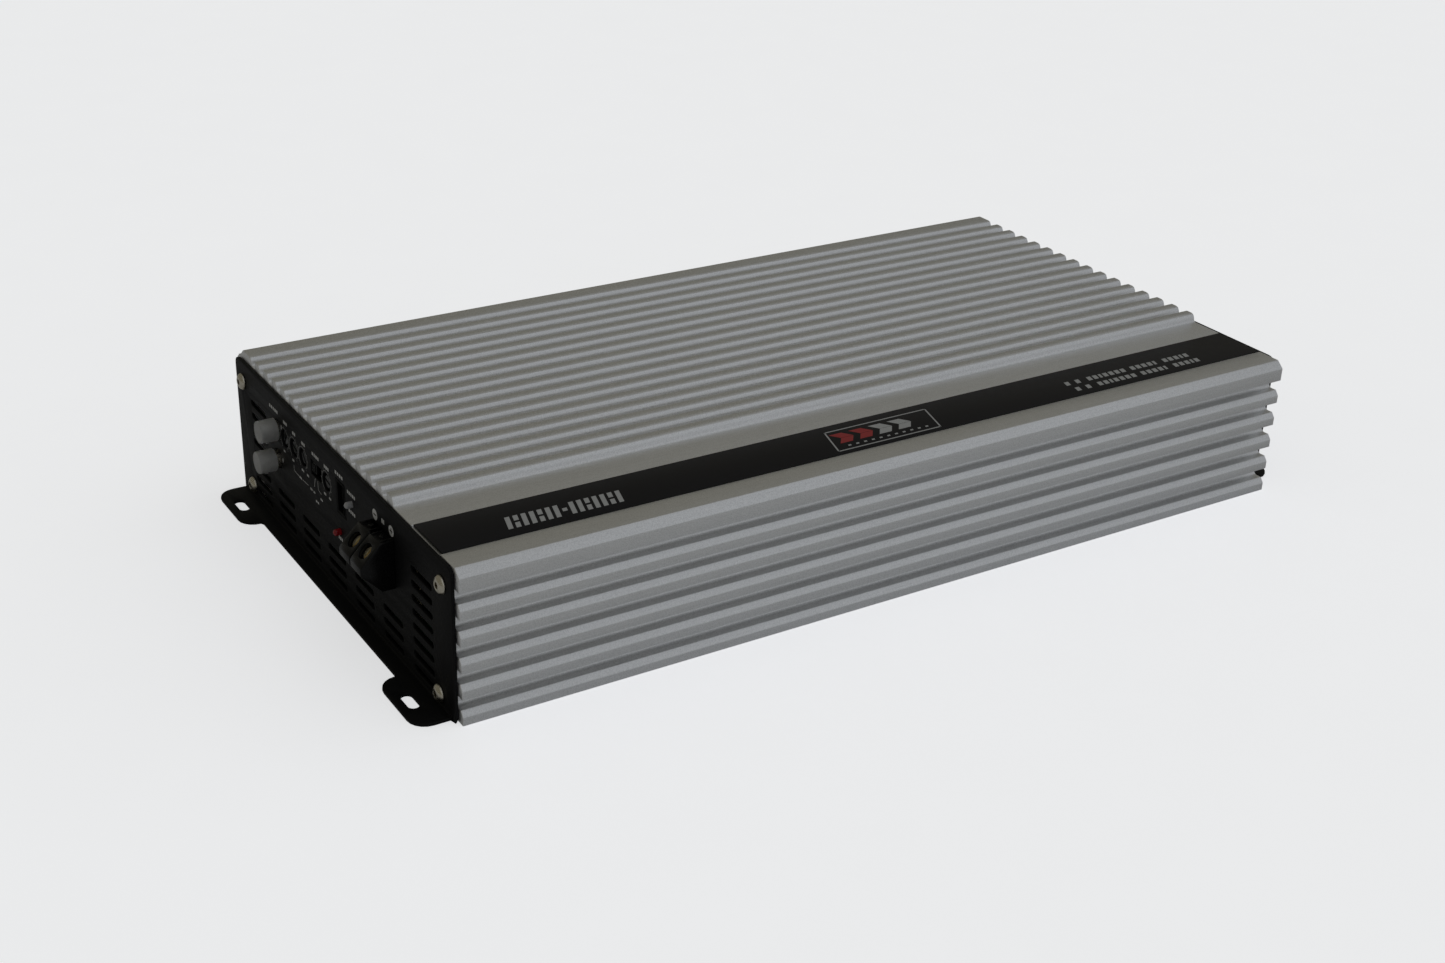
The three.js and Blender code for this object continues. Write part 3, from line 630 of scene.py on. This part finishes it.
def makeLabelStrip():
    low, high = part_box("label_strip")
    middle = (low.y + high.y) / 2
    bm = mergedCopy("label_strip")
    for vert in bm.verts:
        vert.co.y += math.copysign(labelStrip["fill"] * mm, vert.co.y - middle)
    roundEdges(bm, labelStrip["edgeWidth"])
    addPiece(bm, "label_strip_piece", "stripFilm", "chassis", ["label_strip"])
    depth = labelStrip["inkDepth"]
    place = surfacePlace((0, middle, high.z), (1, 0, 0), (0, 1, 0))
    grey, red = bmesh.new(), bmesh.new()

    # left group of slanted bars: every third one is split in two, and the middle one is short
    x = low.x / mm + labelStrip["leftStart"]
    height, slant, width = labelStrip["leftHeight"], labelStrip["slant"], labelStrip["leftBar"]
    for i in range(labelStrip["leftBars"]):
        along, down = x + width / 2, -labelStrip["leftDown"]
        if i == labelStrip["leftBars"] // 2:
            stampBar(grey, along, down, width, height * 0.25, depth, slant)
        elif i % 3 == 1:
            for side in (-1, 1):
                rise = side * height * 0.29
                stampBar(grey, along + slant * rise, down + rise, width, height * 0.42, depth, slant)
        else:
            stampBar(grey, along, down, width, height, depth, slant)
        x += width + labelStrip["leftGap"]

    # framed badge: two red and two silver chevrons over a row of ticks
    wide, tall = labelStrip["badgeSize"]
    along, down, line = labelStrip["badgeAlong"], -labelStrip["badgeDown"], labelStrip["badgeLine"]
    lean = slant * tall / 2
    corners = [(-wide / 2 - lean, -tall / 2), (wide / 2 - lean, -tall / 2),
               (wide / 2 + lean, tall / 2), (-wide / 2 + lean, tall / 2)]
    outline = [(along + a, down + b) for a, b in corners]
    stampLine(grey, [*outline, outline[0]], line, depth)
    armShare, armHeight = labelStrip["chevronArm"]
    rise, chevronLean = labelStrip["chevronRise"], labelStrip["chevronLean"]
    for i in range(labelStrip["chevrons"]):
        ink = red if i < labelStrip["redChevrons"] else grey
        start = along - wide * 0.36 + i * wide * labelStrip["chevronPitch"]
        for side in (-1, 1):
            up = down + 1.6 + side * rise
            stampBar(ink, start, up, wide * armShare, armHeight, depth, -side * chevronLean)
    for i in range(labelStrip["ticks"]):
        x = along + (i - labelStrip["ticks"] // 2) * labelStrip["tickPitch"] - 1.2
        stampBar(grey, x, down - tall * 0.33, *labelStrip["tickSize"], depth, slant)

    # two rows of small dashes near the power end
    dash, dashHeight = labelStrip["rowDash"]
    for row, up in enumerate(labelStrip["rowsHeights"]):
        x = labelStrip["rowsStart"] + row * labelStrip["rowShift"]
        for i in range(labelStrip["rowPlaces"]):
            width = dash * (0.6 if i % 5 == 1 else 1)
            if i not in labelStrip["rowSpaces"]:
                stampBar(grey, x + width / 2, up, width, dashHeight, depth, slant)
            x += width + labelStrip["rowGap"]
    finishStamp(grey, "strip_print_grey", place, "greyInk")
    finishStamp(red, "strip_print_red", place, "redInk")


makeLabelStrip()
print("label strip done")


# End plates: sheet metal with a bent foot, soft edges and printed marks

endPlate = {"thickness": 1.5, "edgeWidth": 0.22, "insideBend": 0.9, "outsideBend": 1.9, "bendSteps": 5}


def makeEndPlate(nodeName, out):
    bm = mergedCopy(nodeName)
    low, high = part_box(nodeName)
    inner = low.x if out > 0 else high.x
    thickness = endPlate["thickness"] * mm

    def roundBend(width, x, z):
        def onBend(edge):
            return all(abs(v.co.x - x) < 0.05 * mm and abs(v.co.z - z) < 0.05 * mm for v in edge.verts)

        roundEdges(bm, width, endPlate["bendSteps"], chosen=onBend)

    roundBend(endPlate["outsideBend"], inner, low.z)
    roundBend(endPlate["insideBend"], inner + out * thickness, low.z + thickness)
    roundEdges(bm, endPlate["edgeWidth"], 2, 40)
    standFor(nodeName, bm, "powderCoat")


makeEndPlate("control_end_plate", -1)
makeEndPlate("power_end_plate", 1)
print("end plates done")


# Printed marks on the ends. Places are (y, z) and a caption's last number is its count of blocks.

controlPrint = {
    "depth": 0.03,
    "ringRadius": 5.0,
    "ringLine": 0.28,
    "ringSweep": 290,       # degrees, open at the bottom
    "tickTurns": (-55, 29, 11),     # first one and step in degrees, and how many
    "tickReach": 0.75,
    "tickSize": (0.8, 0.22),
    "labelHeight": 1.5,
    "scaleHeight": 1.0,
    # (y, z, width) of the ends of each dial's scale, then of the legends under them
    "scales": [
        (57.5, 43, 2.2), (46.8, 43, 2.4), (35.3, 43, 3), (29.4, 43, 2.6), (9.7, 43, 2.6), (4.1, 43, 2.6),
        (38.9, 37.9, 3), (26.2, 37.9, 2.6), (22.8, 37.9, 2), (14.4, 37.9, 2.8), (19.8, 34.5, 4),
    ],
    "traceLine": 0.22,
    "traces": [
        [(46.8, 40.6), (46.3, 38.2), (40.8, 37.9)],
        [(36.2, 38), (29.9, 38.2)],
        [(20.7, 45.3), (22.3, 40.8)],
        [(17.8, 45.3), (17.8, 41.3), (14.4, 40.6)],
    ],
    "poleDisc": 2.4,
    "poleSpread": 2.6,
    "sign": (2.6, 0.6),     # length and width of each stroke
}


def stampWord(bm, y, z, width, height, count):
    # a row of small blocks that stands where a caption would
    pitch = width / count
    for i in range(count):
        share = (0.62, 0.8, 0.55, 0.72)[i % 4]
        stampBar(bm, -(y - width / 2 + (i + 0.5) * pitch), z, pitch * share, height, controlPrint["depth"])


def stampPlus(bm, across, up, both=True):
    long, thin = controlPrint["sign"]
    stampBar(bm, across, up, long, thin, 2 * controlPrint["depth"])
    if both:
        stampBar(bm, across, up, thin, long, 2 * controlPrint["depth"])


def makeControlPrint():
    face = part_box("remote_port")[0].x
    place = surfacePlace((face, 0, 0), (0, -1, 0), (0, 0, 1))
    depth = controlPrint["depth"]
    white, rings = bmesh.new(), bmesh.new()
    pots = {name: middleOf(name + "_shaft") / mm for name in ("level", "lowpass", "subsonic", "boost")}
    switch = middleOf("mode_switch_body") / mm
    port = middleOf("remote_port") / mm
    clip, power = middleOf("clip_led") / mm, middleOf("power_led") / mm
    upper, lower = middleOf("jack_upper_shell") / mm, middleOf("jack_lower_shell") / mm
    terminals = middleOf("speaker_terminal_block") / mm
    radius, sweep = controlPrint["ringRadius"], controlPrint["ringSweep"]
    first, step, count = controlPrint["tickTurns"]
    reach = radius + controlPrint["tickReach"]
    for pot in pots.values():
        stampRing(rings, -pot.y, pot.z, radius, controlPrint["ringLine"], depth, 450 - sweep / 2, sweep)
        for i in range(count):
            turn = math.radians(first + i * step)
            across, up = -pot.y + reach * math.cos(turn), pot.z + reach * math.sin(turn)
            stampBar(rings, across, up, *controlPrint["tickSize"], depth, turn=turn)

    captions = [
        (upper.y + 2, upper.z + 9.1, 11, 5),
        (pots["level"].y - 2, pots["level"].z + 8.2, 5, 3),
        (pots["lowpass"].y - 1.5, pots["lowpass"].z + 7.4, 4, 2),
        (pots["subsonic"].y - 1.5, pots["subsonic"].z + 7, 4.4, 2),
        (switch.y, switch.z + 7.1, 8.4, 4),
        (pots["boost"].y - 0.8, pots["boost"].z + 7, 6, 3),
        (port.y + 1, port.z + 10.5, 9, 4),
        (clip.y, clip.z + 4.4, 9, 5),
        (clip.y, clip.z - 3.9, 7.5, 4),
        (power.y, power.z - 3.3, 5, 3),
    ]
    for y, z, width, count in captions:
        stampWord(white, y, z, width, controlPrint["labelHeight"], count)
    for y, z, width in controlPrint["scales"]:
        stampWord(white, y, z, width, controlPrint["scaleHeight"], 2)
    for trace in controlPrint["traces"]:
        stampLine(white, [(-y, z) for y, z in trace], controlPrint["traceLine"], depth)

    # channel marks beside the jacks
    for y, z in [(upper.y - 6.8, upper.z + 3.6), (lower.y - 6, lower.z + 1.6)]:
        stampWord(white, y, z, 1.6, 1.9, 1)

    # plus and minus discs above the speaker terminals, two small blocks between them
    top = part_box("speaker_terminal_block")[1].z / mm + 3
    signs = bmesh.new()
    for name in ("plus", "minus"):
        pole = middleOf(f"speaker_{name}_clamp") / mm
        y = pole.y + math.copysign(controlPrint["poleSpread"], pole.y - terminals.y)
        stampDisc(white, -y, top, controlPrint["poleDisc"], depth)
        stampPlus(signs, -y, top, name == "plus")
    stampWord(white, terminals.y, top + 0.5, 3, 2, 2)
    finishStamp(white, "control_print_white", place, "whiteInk")
    finishStamp(rings, "control_print_rings", place, "dimInk")
    finishStamp(signs, "control_print_signs", place, "powderCoat")


def makePowerPrint():
    plate = nodes["power_end_plate"].data
    wall = max(v.co.x for v in plate.vertices if v.co.z > 20 * mm)
    place = surfacePlace((wall, 0, 0), (0, 1, 0), (0, 0, 1))
    depth = controlPrint["depth"]
    white, signs = bmesh.new(), bmesh.new()
    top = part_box("power_terminal_block")[1].z / mm + 3.4
    for name in ("battery", "remote", "ground"):
        y = middleOf(f"power_{name}_clamp").y / mm
        stampDisc(white, y, top, controlPrint["poleDisc"], depth)
        if name == "battery":
            stampPlus(signs, y, top)
        elif name == "remote":
            stampRing(signs, y, top, 1.1, 0.5, 2 * depth)
        else:
            for i, width in enumerate((2.8, 1.8, 0.8)):
                stampBar(signs, y, top + 0.7 - i * 0.8, width, 0.35, 2 * depth)
    finishStamp(white, "power_print_white", place, "whiteInk")
    finishStamp(signs, "power_print_signs", place, "powderCoat")


makeControlPrint()
makePowerPrint()
print("prints on both ends done")


# Button-head screws in the end plates, with a hexagon socket

buttonScrew = {
    "headHeight": 2.2,
    "socket": 2.5,          # across flats
    "socketDepth": 2.1,
    "steps": 48,
    "shankRadius": 1.95,
}


def sinkSocket(bm, across, sides, depth):
    # the open rim at the top of the head becomes a polygon socket with a coned floor
    rim = [edge for edge in bm.edges if edge.is_boundary]
    sector = 2 * math.pi / sides
    for drop, closing in ((0.12, False), (depth, True)):
        grown = bmesh.ops.extrude_edge_only(bm, edges=rim)["geom"]
        rim = [g for g in grown if isinstance(g, bmesh.types.BMEdge)]
        for vert in {v for edge in rim for v in edge.verts}:
            turn = math.atan2(vert.co.y, vert.co.x)
            local = turn % sector - sector / 2
            reach = across / 2 / math.cos(local) * mm
            vert.co.x = reach * math.cos(turn)
            vert.co.y = reach * math.sin(turn)
            vert.co.z -= drop * mm
        if closing:
            filled = bmesh.ops.contextual_create(bm, geom=rim)["faces"]
            bmesh.ops.poke(bm, faces=filled, offset=-0.35 * mm)
    bmesh.ops.recalc_face_normals(bm, faces=bm.faces)


def makeButtonScrew(nodeName, out):
    low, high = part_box(nodeName)
    radius = (high.y - low.y) / 2 / mm
    tip = high.x if out > 0 else low.x
    length = (high.x - low.x) / mm - buttonScrew["headHeight"]
    rise = buttonScrew["headHeight"]
    rim = buttonScrew["socket"] * 0.66
    shank = buttonScrew["shankRadius"]
    dome = [
        (radius - 0.12, 0), (radius, 0.12), (radius, 0.42), (radius * 0.965, 0.78),
        (radius * 0.87, rise * 0.62), (radius * 0.73, rise * 0.83), (radius * 0.58, rise * 0.95),
        (rim + 0.18, rise), (rim, rise - 0.02),
    ]
    profile = [(0, -length), (shank - 0.3, -length), (shank, -length + 0.3), (shank, 0), *dome]
    bm = spun(profile, buttonScrew["steps"])
    sinkSocket(bm, buttonScrew["socket"], 6, buttonScrew["socketDepth"])
    middle = middleOf(nodeName)
    laid(bm, (tip - out * rise * mm, middle.y, middle.z), (out, 0, 0))
    standFor(nodeName, bm, "nickel", flatWidth=3)


corners = [side + height for side in ("front", "back") for height in ("_top", "_low")]
for corner in corners:
    makeButtonScrew(f"control_screw_{corner}", -1)
    makeButtonScrew(f"power_screw_{corner}", 1)
print("end plate screws done")


# Input jacks: shells with rolled lips, housing with white cores, and cloudy push-on caps

jack = {"wall": 0.5, "lip": 0.22, "steps": 56, "housingEdge": 0.3}
jackCap = {
    "taper": 0.12,
    "edge": 0.5,
    "wall": 0.8,
    "endWall": 1.0,
    "innerCorner": 0.6,
    "steps": 64,
    "lug": (1.7, 1.8, 1.7),
    "lugBack": 4.2,         # from the open end of the cap
    "dish": 0.25,
}


def makeJackShell(nodeName):
    low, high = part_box(nodeName)
    middle = middleOf(nodeName)
    radius = (high.y - low.y) / 2 / mm
    length = (high.x - low.x) / mm
    inner = radius - jack["wall"]
    lip = jack["lip"]
    wall = [
        (inner, 0), (radius, 0), (radius, length - lip * 3.4), (radius, length - lip),
        *arc((radius - lip, length - lip), lip, 20, 160, 5), (inner, length - lip), (inner, length / 2),
    ]
    bm = spun(wall, jack["steps"], closed=True)
    laid(bm, (high.x, middle.y, middle.z), (-1, 0, 0))
    standFor(nodeName, bm, "nickel", flatWidth=3)


def makeJackCap(nodeName):
    low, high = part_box(nodeName)
    middle = Vector(((low.x + high.x) / 2, (low.y + high.y) / 2, 0))
    radius = (high.y - low.y) / 2 / mm
    height = high.z / mm - radius
    length = (high.x - low.x) / mm
    edge, corner = jackCap["edge"], jackCap["innerCorner"]
    front = radius - jackCap["taper"]
    inner = radius - jackCap["wall"]
    bottom = length - jackCap["endWall"]
    profile = [
        (0, bottom), (inner - 0.7, bottom), *arc((inner - 0.7, bottom - corner), corner, 90, 0, 4),
        (inner, 0.2), (inner + 0.18, 0), (radius - 0.25, 0), (radius, 0.25), (radius, 1.1),
        *arc((front - edge, length - edge), edge, 4, 84, 8),
        (front * 0.45, length - 0.02), (0, length - jackCap["dish"] * 0.4),
    ]
    bm = spun(profile, jackCap["steps"])
    laid(bm, (high.x, middle.y, height * mm), (-1, 0, 0))
    standFor(nodeName, bm, "capPlastic", flatWidth=3)
    lug = block(jackCap["lug"], bevel=0.4, steps=3)
    place = (high.x - jackCap["lugBack"] * mm, middle.y, (height - radius + 0.1) * mm)
    bmesh.ops.translate(lug, vec=place, verts=lug.verts)
    addPiece(lug, nodeName + "_lug", "capPlastic", bodyOf[nodeName])


for place in ("upper", "lower"):
    makeJackShell(f"jack_{place}_shell")
    makeJackCap(f"jack_{place}_cap")
refine("jack_housing", "whitePlastic", jack["housingEdge"])
print("jacks done")


# Rotary controls: splined, slotted shafts set back in their holes

control = {
    "teeth": 18,
    "toothDepth": 0.24,
    "slot": (1.0, 0.95),
    "chamfer": 0.35,
    "steps": 72,
    "bodyEdge": 0.3,
    # where each slot points at rest, in radians
    "turns": {"level": -1.1, "lowpass": 0.4, "subsonic": 0.9, "boost": 0.2},
}


def makeShaft(name):
    nodeName = name + "_shaft"
    low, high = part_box(nodeName)
    radius = (high.z - low.z) / 2 / mm
    length = (high.x - low.x) / mm
    edge = control["chamfer"]
    profile = [(0, 0), (radius, 0), (radius, length - edge), (radius - edge, length), (0, length)]
    bm = spun(profile, control["steps"])
    for vert in bm.verts:
        reach = math.hypot(vert.co.x, vert.co.y)
        if reach > (radius - 1) * mm:
            turn = math.atan2(vert.co.y, vert.co.x)
            dip = control["toothDepth"] * mm * (0.5 - 0.5 * math.cos(control["teeth"] * turn))
            vert.co.x -= dip * math.cos(turn)
            vert.co.y -= dip * math.sin(turn)
    width, depth = control["slot"]
    slot = block((width, 3 * radius, 2 * depth), (0, 0, length))
    bm = cutBy(bm, [slot])
    middle = middleOf(nodeName)
    laid(bm, (high.x, middle.y, middle.z), (-1, 0, 0))
    turn = Matrix.Rotation(control["turns"][name], 4, "X")
    centre = Matrix.Translation(middle)
    bmesh.ops.transform(bm, matrix=centre @ turn @ centre.inverted(), verts=bm.verts)
    standFor(nodeName, bm, "blackPlastic", flatWidth=0.5, sharpAngle=30)


for name in control["turns"]:
    makeShaft(name)
    refine(name + "_pot", "blackPlastic", control["bodyEdge"])
print("rotary controls done")


# Slide switch with a ribbed thumb piece

slideSwitch = {"bodyEdge": 0.2, "knobEdge": 0.3, "ribs": 3, "ribSize": (0.5, 0.42)}


def makeSwitch():
    refine("mode_switch_body", "blackPlastic", slideSwitch["bodyEdge"])
    low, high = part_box("mode_switch_knob")
    size = (high - low) / mm
    middle = (low + high) / 2
    bm = block(size, middle / mm, slideSwitch["knobEdge"])
    width, rise = slideSwitch["ribSize"]
    ribs = slideSwitch["ribs"]
    for i in range(ribs):
        offset = (i - (ribs - 1) / 2) * size.y / (ribs + 0.6)
        rib = block((2 * rise, width, size.z * 0.82), bevel=0.15)
        bmesh.ops.translate(rib, vec=(low.x, middle.y + offset * mm, middle.z), verts=rib.verts)
        addTo(bm, rib)
    addPiece(bm, "mode_switch_knob_piece", "blackPlastic", "mode_switch_knob", ["mode_switch_knob"])


makeSwitch()


# Socket for the wired remote, with gilt spring contacts

remotePort = {
    "edge": 0.18,
    "contacts": 6,
    "contactSize": (7.0, 0.35, 0.7),
    "contactPlace": (6.6, 1.55),    # in from the mouth, and from the side wall
    "contactRoom": 0.66,            # part of the port's height that the row takes
}


def makePort():
    refine("remote_port", "portPlastic", remotePort["edge"])
    low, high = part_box("remote_port")
    contacts = bmesh.new()
    room = (high.z - low.z) * remotePort["contactRoom"]
    inward, sideways = remotePort["contactPlace"]
    for i in range(remotePort["contacts"]):
        contact = block(remotePort["contactSize"], bevel=0.1, steps=1)
        z = (low.z + high.z) / 2 + room * (i / (remotePort["contacts"] - 1) - 0.5)
        place = (low.x + inward * mm, high.y - sideways * mm, z)
        bmesh.ops.translate(contact, vec=place, verts=contact.verts)
        addTo(contacts, contact)
    addPiece(contacts, "remote_port_contacts", "gold", "chassis")


makePort()


# Indicator lamps: a domed lens on a long flanged foot

lamp = {"flange": 0.4, "footLength": 10.5, "footStep": 0.2, "steps": 36, "domeSteps": 8}


def makeLamp(nodeName, finish):
    low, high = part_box(nodeName)
    middle = middleOf(nodeName)
    length = (high.x - low.x) / mm
    radius = (high.z - low.z) / 2 / mm - lamp["flange"]
    wide, foot = radius + lamp["flange"], lamp["footLength"]
    dome = arc((0, length - radius), radius, 0, 90, lamp["domeSteps"])
    profile = [(0, 0), (wide, 0), (wide, foot), (radius, foot + lamp["footStep"]), *dome[:-1], (0, length)]
    bm = spun(profile, lamp["steps"])
    laid(bm, (high.x, middle.y, middle.z), (-1, 0, 0))
    standFor(nodeName, bm, finish, flatWidth=3)


makeLamp("power_led", "redLens")
makeLamp("clip_led", "clearLens")
print("switch, port and lamps done")


# Terminal blocks, their clamps and the slotted set screws

terminal = {
    "edge": 0.32,
    "clampEdge": 0.2,
    "flatTop": 6.0,         # from the plate to the start of the slope
    "footReach": 15.4,      # from the tip of the foot tab back to the plate
    "ribHeight": 0.5,
    "ribWidth": 0.7,
    "ribSpread": 3.9,
    "pipRadius": 1.15,
    "pipHeight": 0.55,
    "pipSteps": 24,
}
setScrew = {
    "slotWidth": 1.0,
    "slotDepth": 1.1,
    "chamfer": 0.3,
    "steps": 40,
    "threadPitch": 0.7,
    "threadDepth": 0.22,
}


def makeBlockTop(name, poles, out):
    # narrow ribs and a round locating pip over each pole, on the flat top beside the plate
    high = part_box(name + "_terminal_block")[1]
    wall = out * (cadHigh.x - terminal["footReach"] * mm)
    detail = bmesh.new()
    depth = terminal["flatTop"]
    x = wall + out * (depth / 2 - 0.1) * mm
    radius, height = terminal["pipRadius"], terminal["pipHeight"]
    for pole in poles:
        y = middleOf(f"{name}_{pole}_clamp").y
        for side in (-1, 1):
            rib = block((depth - 1.2, terminal["ribWidth"], 2 * terminal["ribHeight"]), bevel=0.15)
            bmesh.ops.translate(rib, vec=(x, y + side * terminal["ribSpread"] * mm, high.z), verts=rib.verts)
            addTo(detail, rib)
        pip = spun([
            (0, -0.4), (radius, -0.4), (radius, height * 0.5), (radius * 0.7, height * 0.9), (0, height),
        ], terminal["pipSteps"])
        bmesh.ops.translate(pip, vec=(x, y, high.z), verts=pip.verts)
        addTo(detail, pip)
    addPiece(detail, name + "_block_ribs", "blackPlastic", "chassis")


def makeSetScrew(nodeName, out):
    # the screw lies along the sloping face, so its frame is read from the mesh of the CAD screw
    middle = middleOf(nodeName)
    axis = Vector((out, 0, 1)).normalized()
    offsets = [v.co - middle for v in nodes[nodeName].data.vertices]
    reach = [offset.dot(axis) for offset in offsets]
    across = [(offset - axis * offset.dot(axis)).length for offset in offsets]
    start, radius = min(reach) / mm, max(across) / mm
    length = max(reach) / mm - start
    chamfer, pitch, thread = setScrew["chamfer"], setScrew["threadPitch"], setScrew["threadDepth"]
    profile = [(0, 0), (radius - 0.5, 0)]
    crests = int((length - chamfer - 0.6) / pitch)
    for i in range(crests):
        base = 0.4 + i * pitch
        profile += [(radius - thread, base), (radius, base + pitch * 0.42), (radius, base + pitch * 0.5)]
    profile += [(radius - 0.02, length - chamfer), (radius - chamfer, length), (0, length)]
    bm = spun(profile, setScrew["steps"])
    slot = block((setScrew["slotWidth"], 3 * radius, 2 * setScrew["slotDepth"]), (0, 0, length))
    bm = cutBy(bm, [slot])
    bmesh.ops.rotate(bm, cent=(0, 0, 0), matrix=Matrix.Rotation(math.pi / 2, 3, "Z"), verts=bm.verts)
    laid(bm, middle + axis * start * mm, axis)
    standFor(nodeName, bm, "brass", flatWidth=0.9, sharpAngle=40)


for end, poles, out in (("speaker", ("plus", "minus"), -1), ("power", ("battery", "remote", "ground"), 1)):
    refine(end + "_terminal_block", "blackPlastic", terminal["edge"])
    makeBlockTop(end, poles, out)
    for pole in poles:
        refine(f"{end}_{pole}_clamp", "brass", terminal["clampEdge"])
        makeSetScrew(f"{end}_{pole}_screw", out)
print("terminal blocks done")


# Bottom cover and its countersunk screws

cover = {"edge": 0.2, "screwSteps": 36, "socket": 1.7, "socketDepth": 0.7, "shank": 1.3}
refine("bottom_cover", "powderCoat", cover["edge"], 2, 40)


def makeCoverScrew(nodeName):
    low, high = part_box(nodeName)
    middle = middleOf(nodeName)
    radius = (high.y - low.y) / 2 / mm
    length = (high.z - low.z) / mm
    shank = cover["shank"]
    profile = [
        (0, -length), (shank - 0.4, -length), (shank, -length + 0.5), (shank, -1.3), (radius, -0.2),
        (radius, -0.06), (radius - 0.06, 0), (cover["socket"] * 0.66, 0),
    ]
    bm = spun(profile, cover["screwSteps"])
    sinkSocket(bm, cover["socket"], 6, cover["socketDepth"])
    laid(bm, (middle.x, middle.y, low.z), (0, 0, -1))
    standFor(nodeName, bm, "powderCoat", flatWidth=2)


for side in ("front", "back"):
    for i in (1, 2, 3):
        makeCoverScrew(f"cover_screw_{side}_{i}")
print("bottom cover done")


# Inside: boards, wound cores, capacitors and power devices

inside = {"boardEdge": 0.15, "deviceEdge": 0.3}
winding = {"turns": 72, "bulge": 0.35, "sectionSteps": 6}    # the small core takes half the turns
canister = {"groove": 0.9, "grooveUp": 4.5, "steps": 56, "topRim": 0.6}


def makeWinding(nodeName):
    low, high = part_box(nodeName)
    middle = middleOf(nodeName)
    outer = (high.x - low.x) / 2 / mm
    tall = (high.z - low.z) / mm
    corners = nodes[nodeName].data.vertices
    inner = min(math.hypot(v.co.x - middle.x, v.co.y - middle.y) for v in corners) / mm
    bulge = winding["bulge"]
    corner = (outer - inner) * 0.24
    left, right = inner + bulge, outer - bulge
    bottom, top = bulge, tall - bulge
    steps = winding["sectionSteps"]
    section = [
        *arc((right - corner, bottom + corner), corner, -90, 0, steps),
        *arc((right - corner, top - corner), corner, 0, 90, steps),
        *arc((left + corner, top - corner), corner, 90, 180, steps),
        *arc((left + corner, bottom + corner), corner, 180, 270, steps)[:-1],
    ]
    turns = winding["turns"] if outer > 30 else winding["turns"] // 2
    bm = spun(section, turns * 4, closed=True)
    core = (left + right) / 2 * mm
    rise = tall / 2 * mm
    for vert in bm.verts:
        turn = math.atan2(vert.co.y, vert.co.x)
        reach = math.hypot(vert.co.x, vert.co.y)
        out = Vector((reach - core, vert.co.z - rise))
        out += out.normalized() * bulge * mm * math.cos(turns * turn)
        vert.co = ((core + out.x) * math.cos(turn), (core + out.x) * math.sin(turn), rise + out.y)
    bmesh.ops.translate(bm, vec=(middle.x, middle.y, low.z), verts=bm.verts)
    standFor(nodeName, bm, "magnetWire", flatWidth=9, sharpAngle=80)


def makeCanister(nodeName):
    low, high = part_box(nodeName)
    middle = middleOf(nodeName)
    radius = (high.x - low.x) / 2 / mm
    tall = (high.z - low.z) / mm
    up, groove, rim = canister["grooveUp"], canister["groove"], canister["topRim"]
    profile = [
        (0, 0), (radius - 0.5, 0), (radius, 0.5), (radius, up - 1.4), (radius - groove * 0.7, up - 0.7),
        (radius - groove, up), (radius - groove * 0.7, up + 0.7), (radius, up + 1.4), (radius, tall - 1),
        *arc((radius - 1, tall - 1), 1, 10, 90, 4), (radius - 2.2, tall), (radius - 2.2 - rim, tall - rim),
        (0, tall - rim),
    ]
    bm = spun(profile, canister["steps"])
    bmesh.ops.translate(bm, vec=(middle.x, middle.y, low.z), verts=bm.verts)
    standFor(nodeName, bm, "sleeve", flatWidth=3)


refine("main_board", "solderMask", inside["boardEdge"])
refine("control_board", "solderMask", inside["boardEdge"])
makeWinding("power_transformer")
makeWinding("output_inductor")
for i in (1, 2, 3):
    makeCanister(f"capacitor_{i}")
refine("front_power_devices", "devices", inside["deviceEdge"])
refine("back_power_devices", "devices", inside["deviceEdge"])
print("inside parts done")


# The list is empty once a finished piece stands for every CAD node
left = [name for name, node in nodes.items() if not node.hide_render]
print("nodes still shown as CAD:", left)
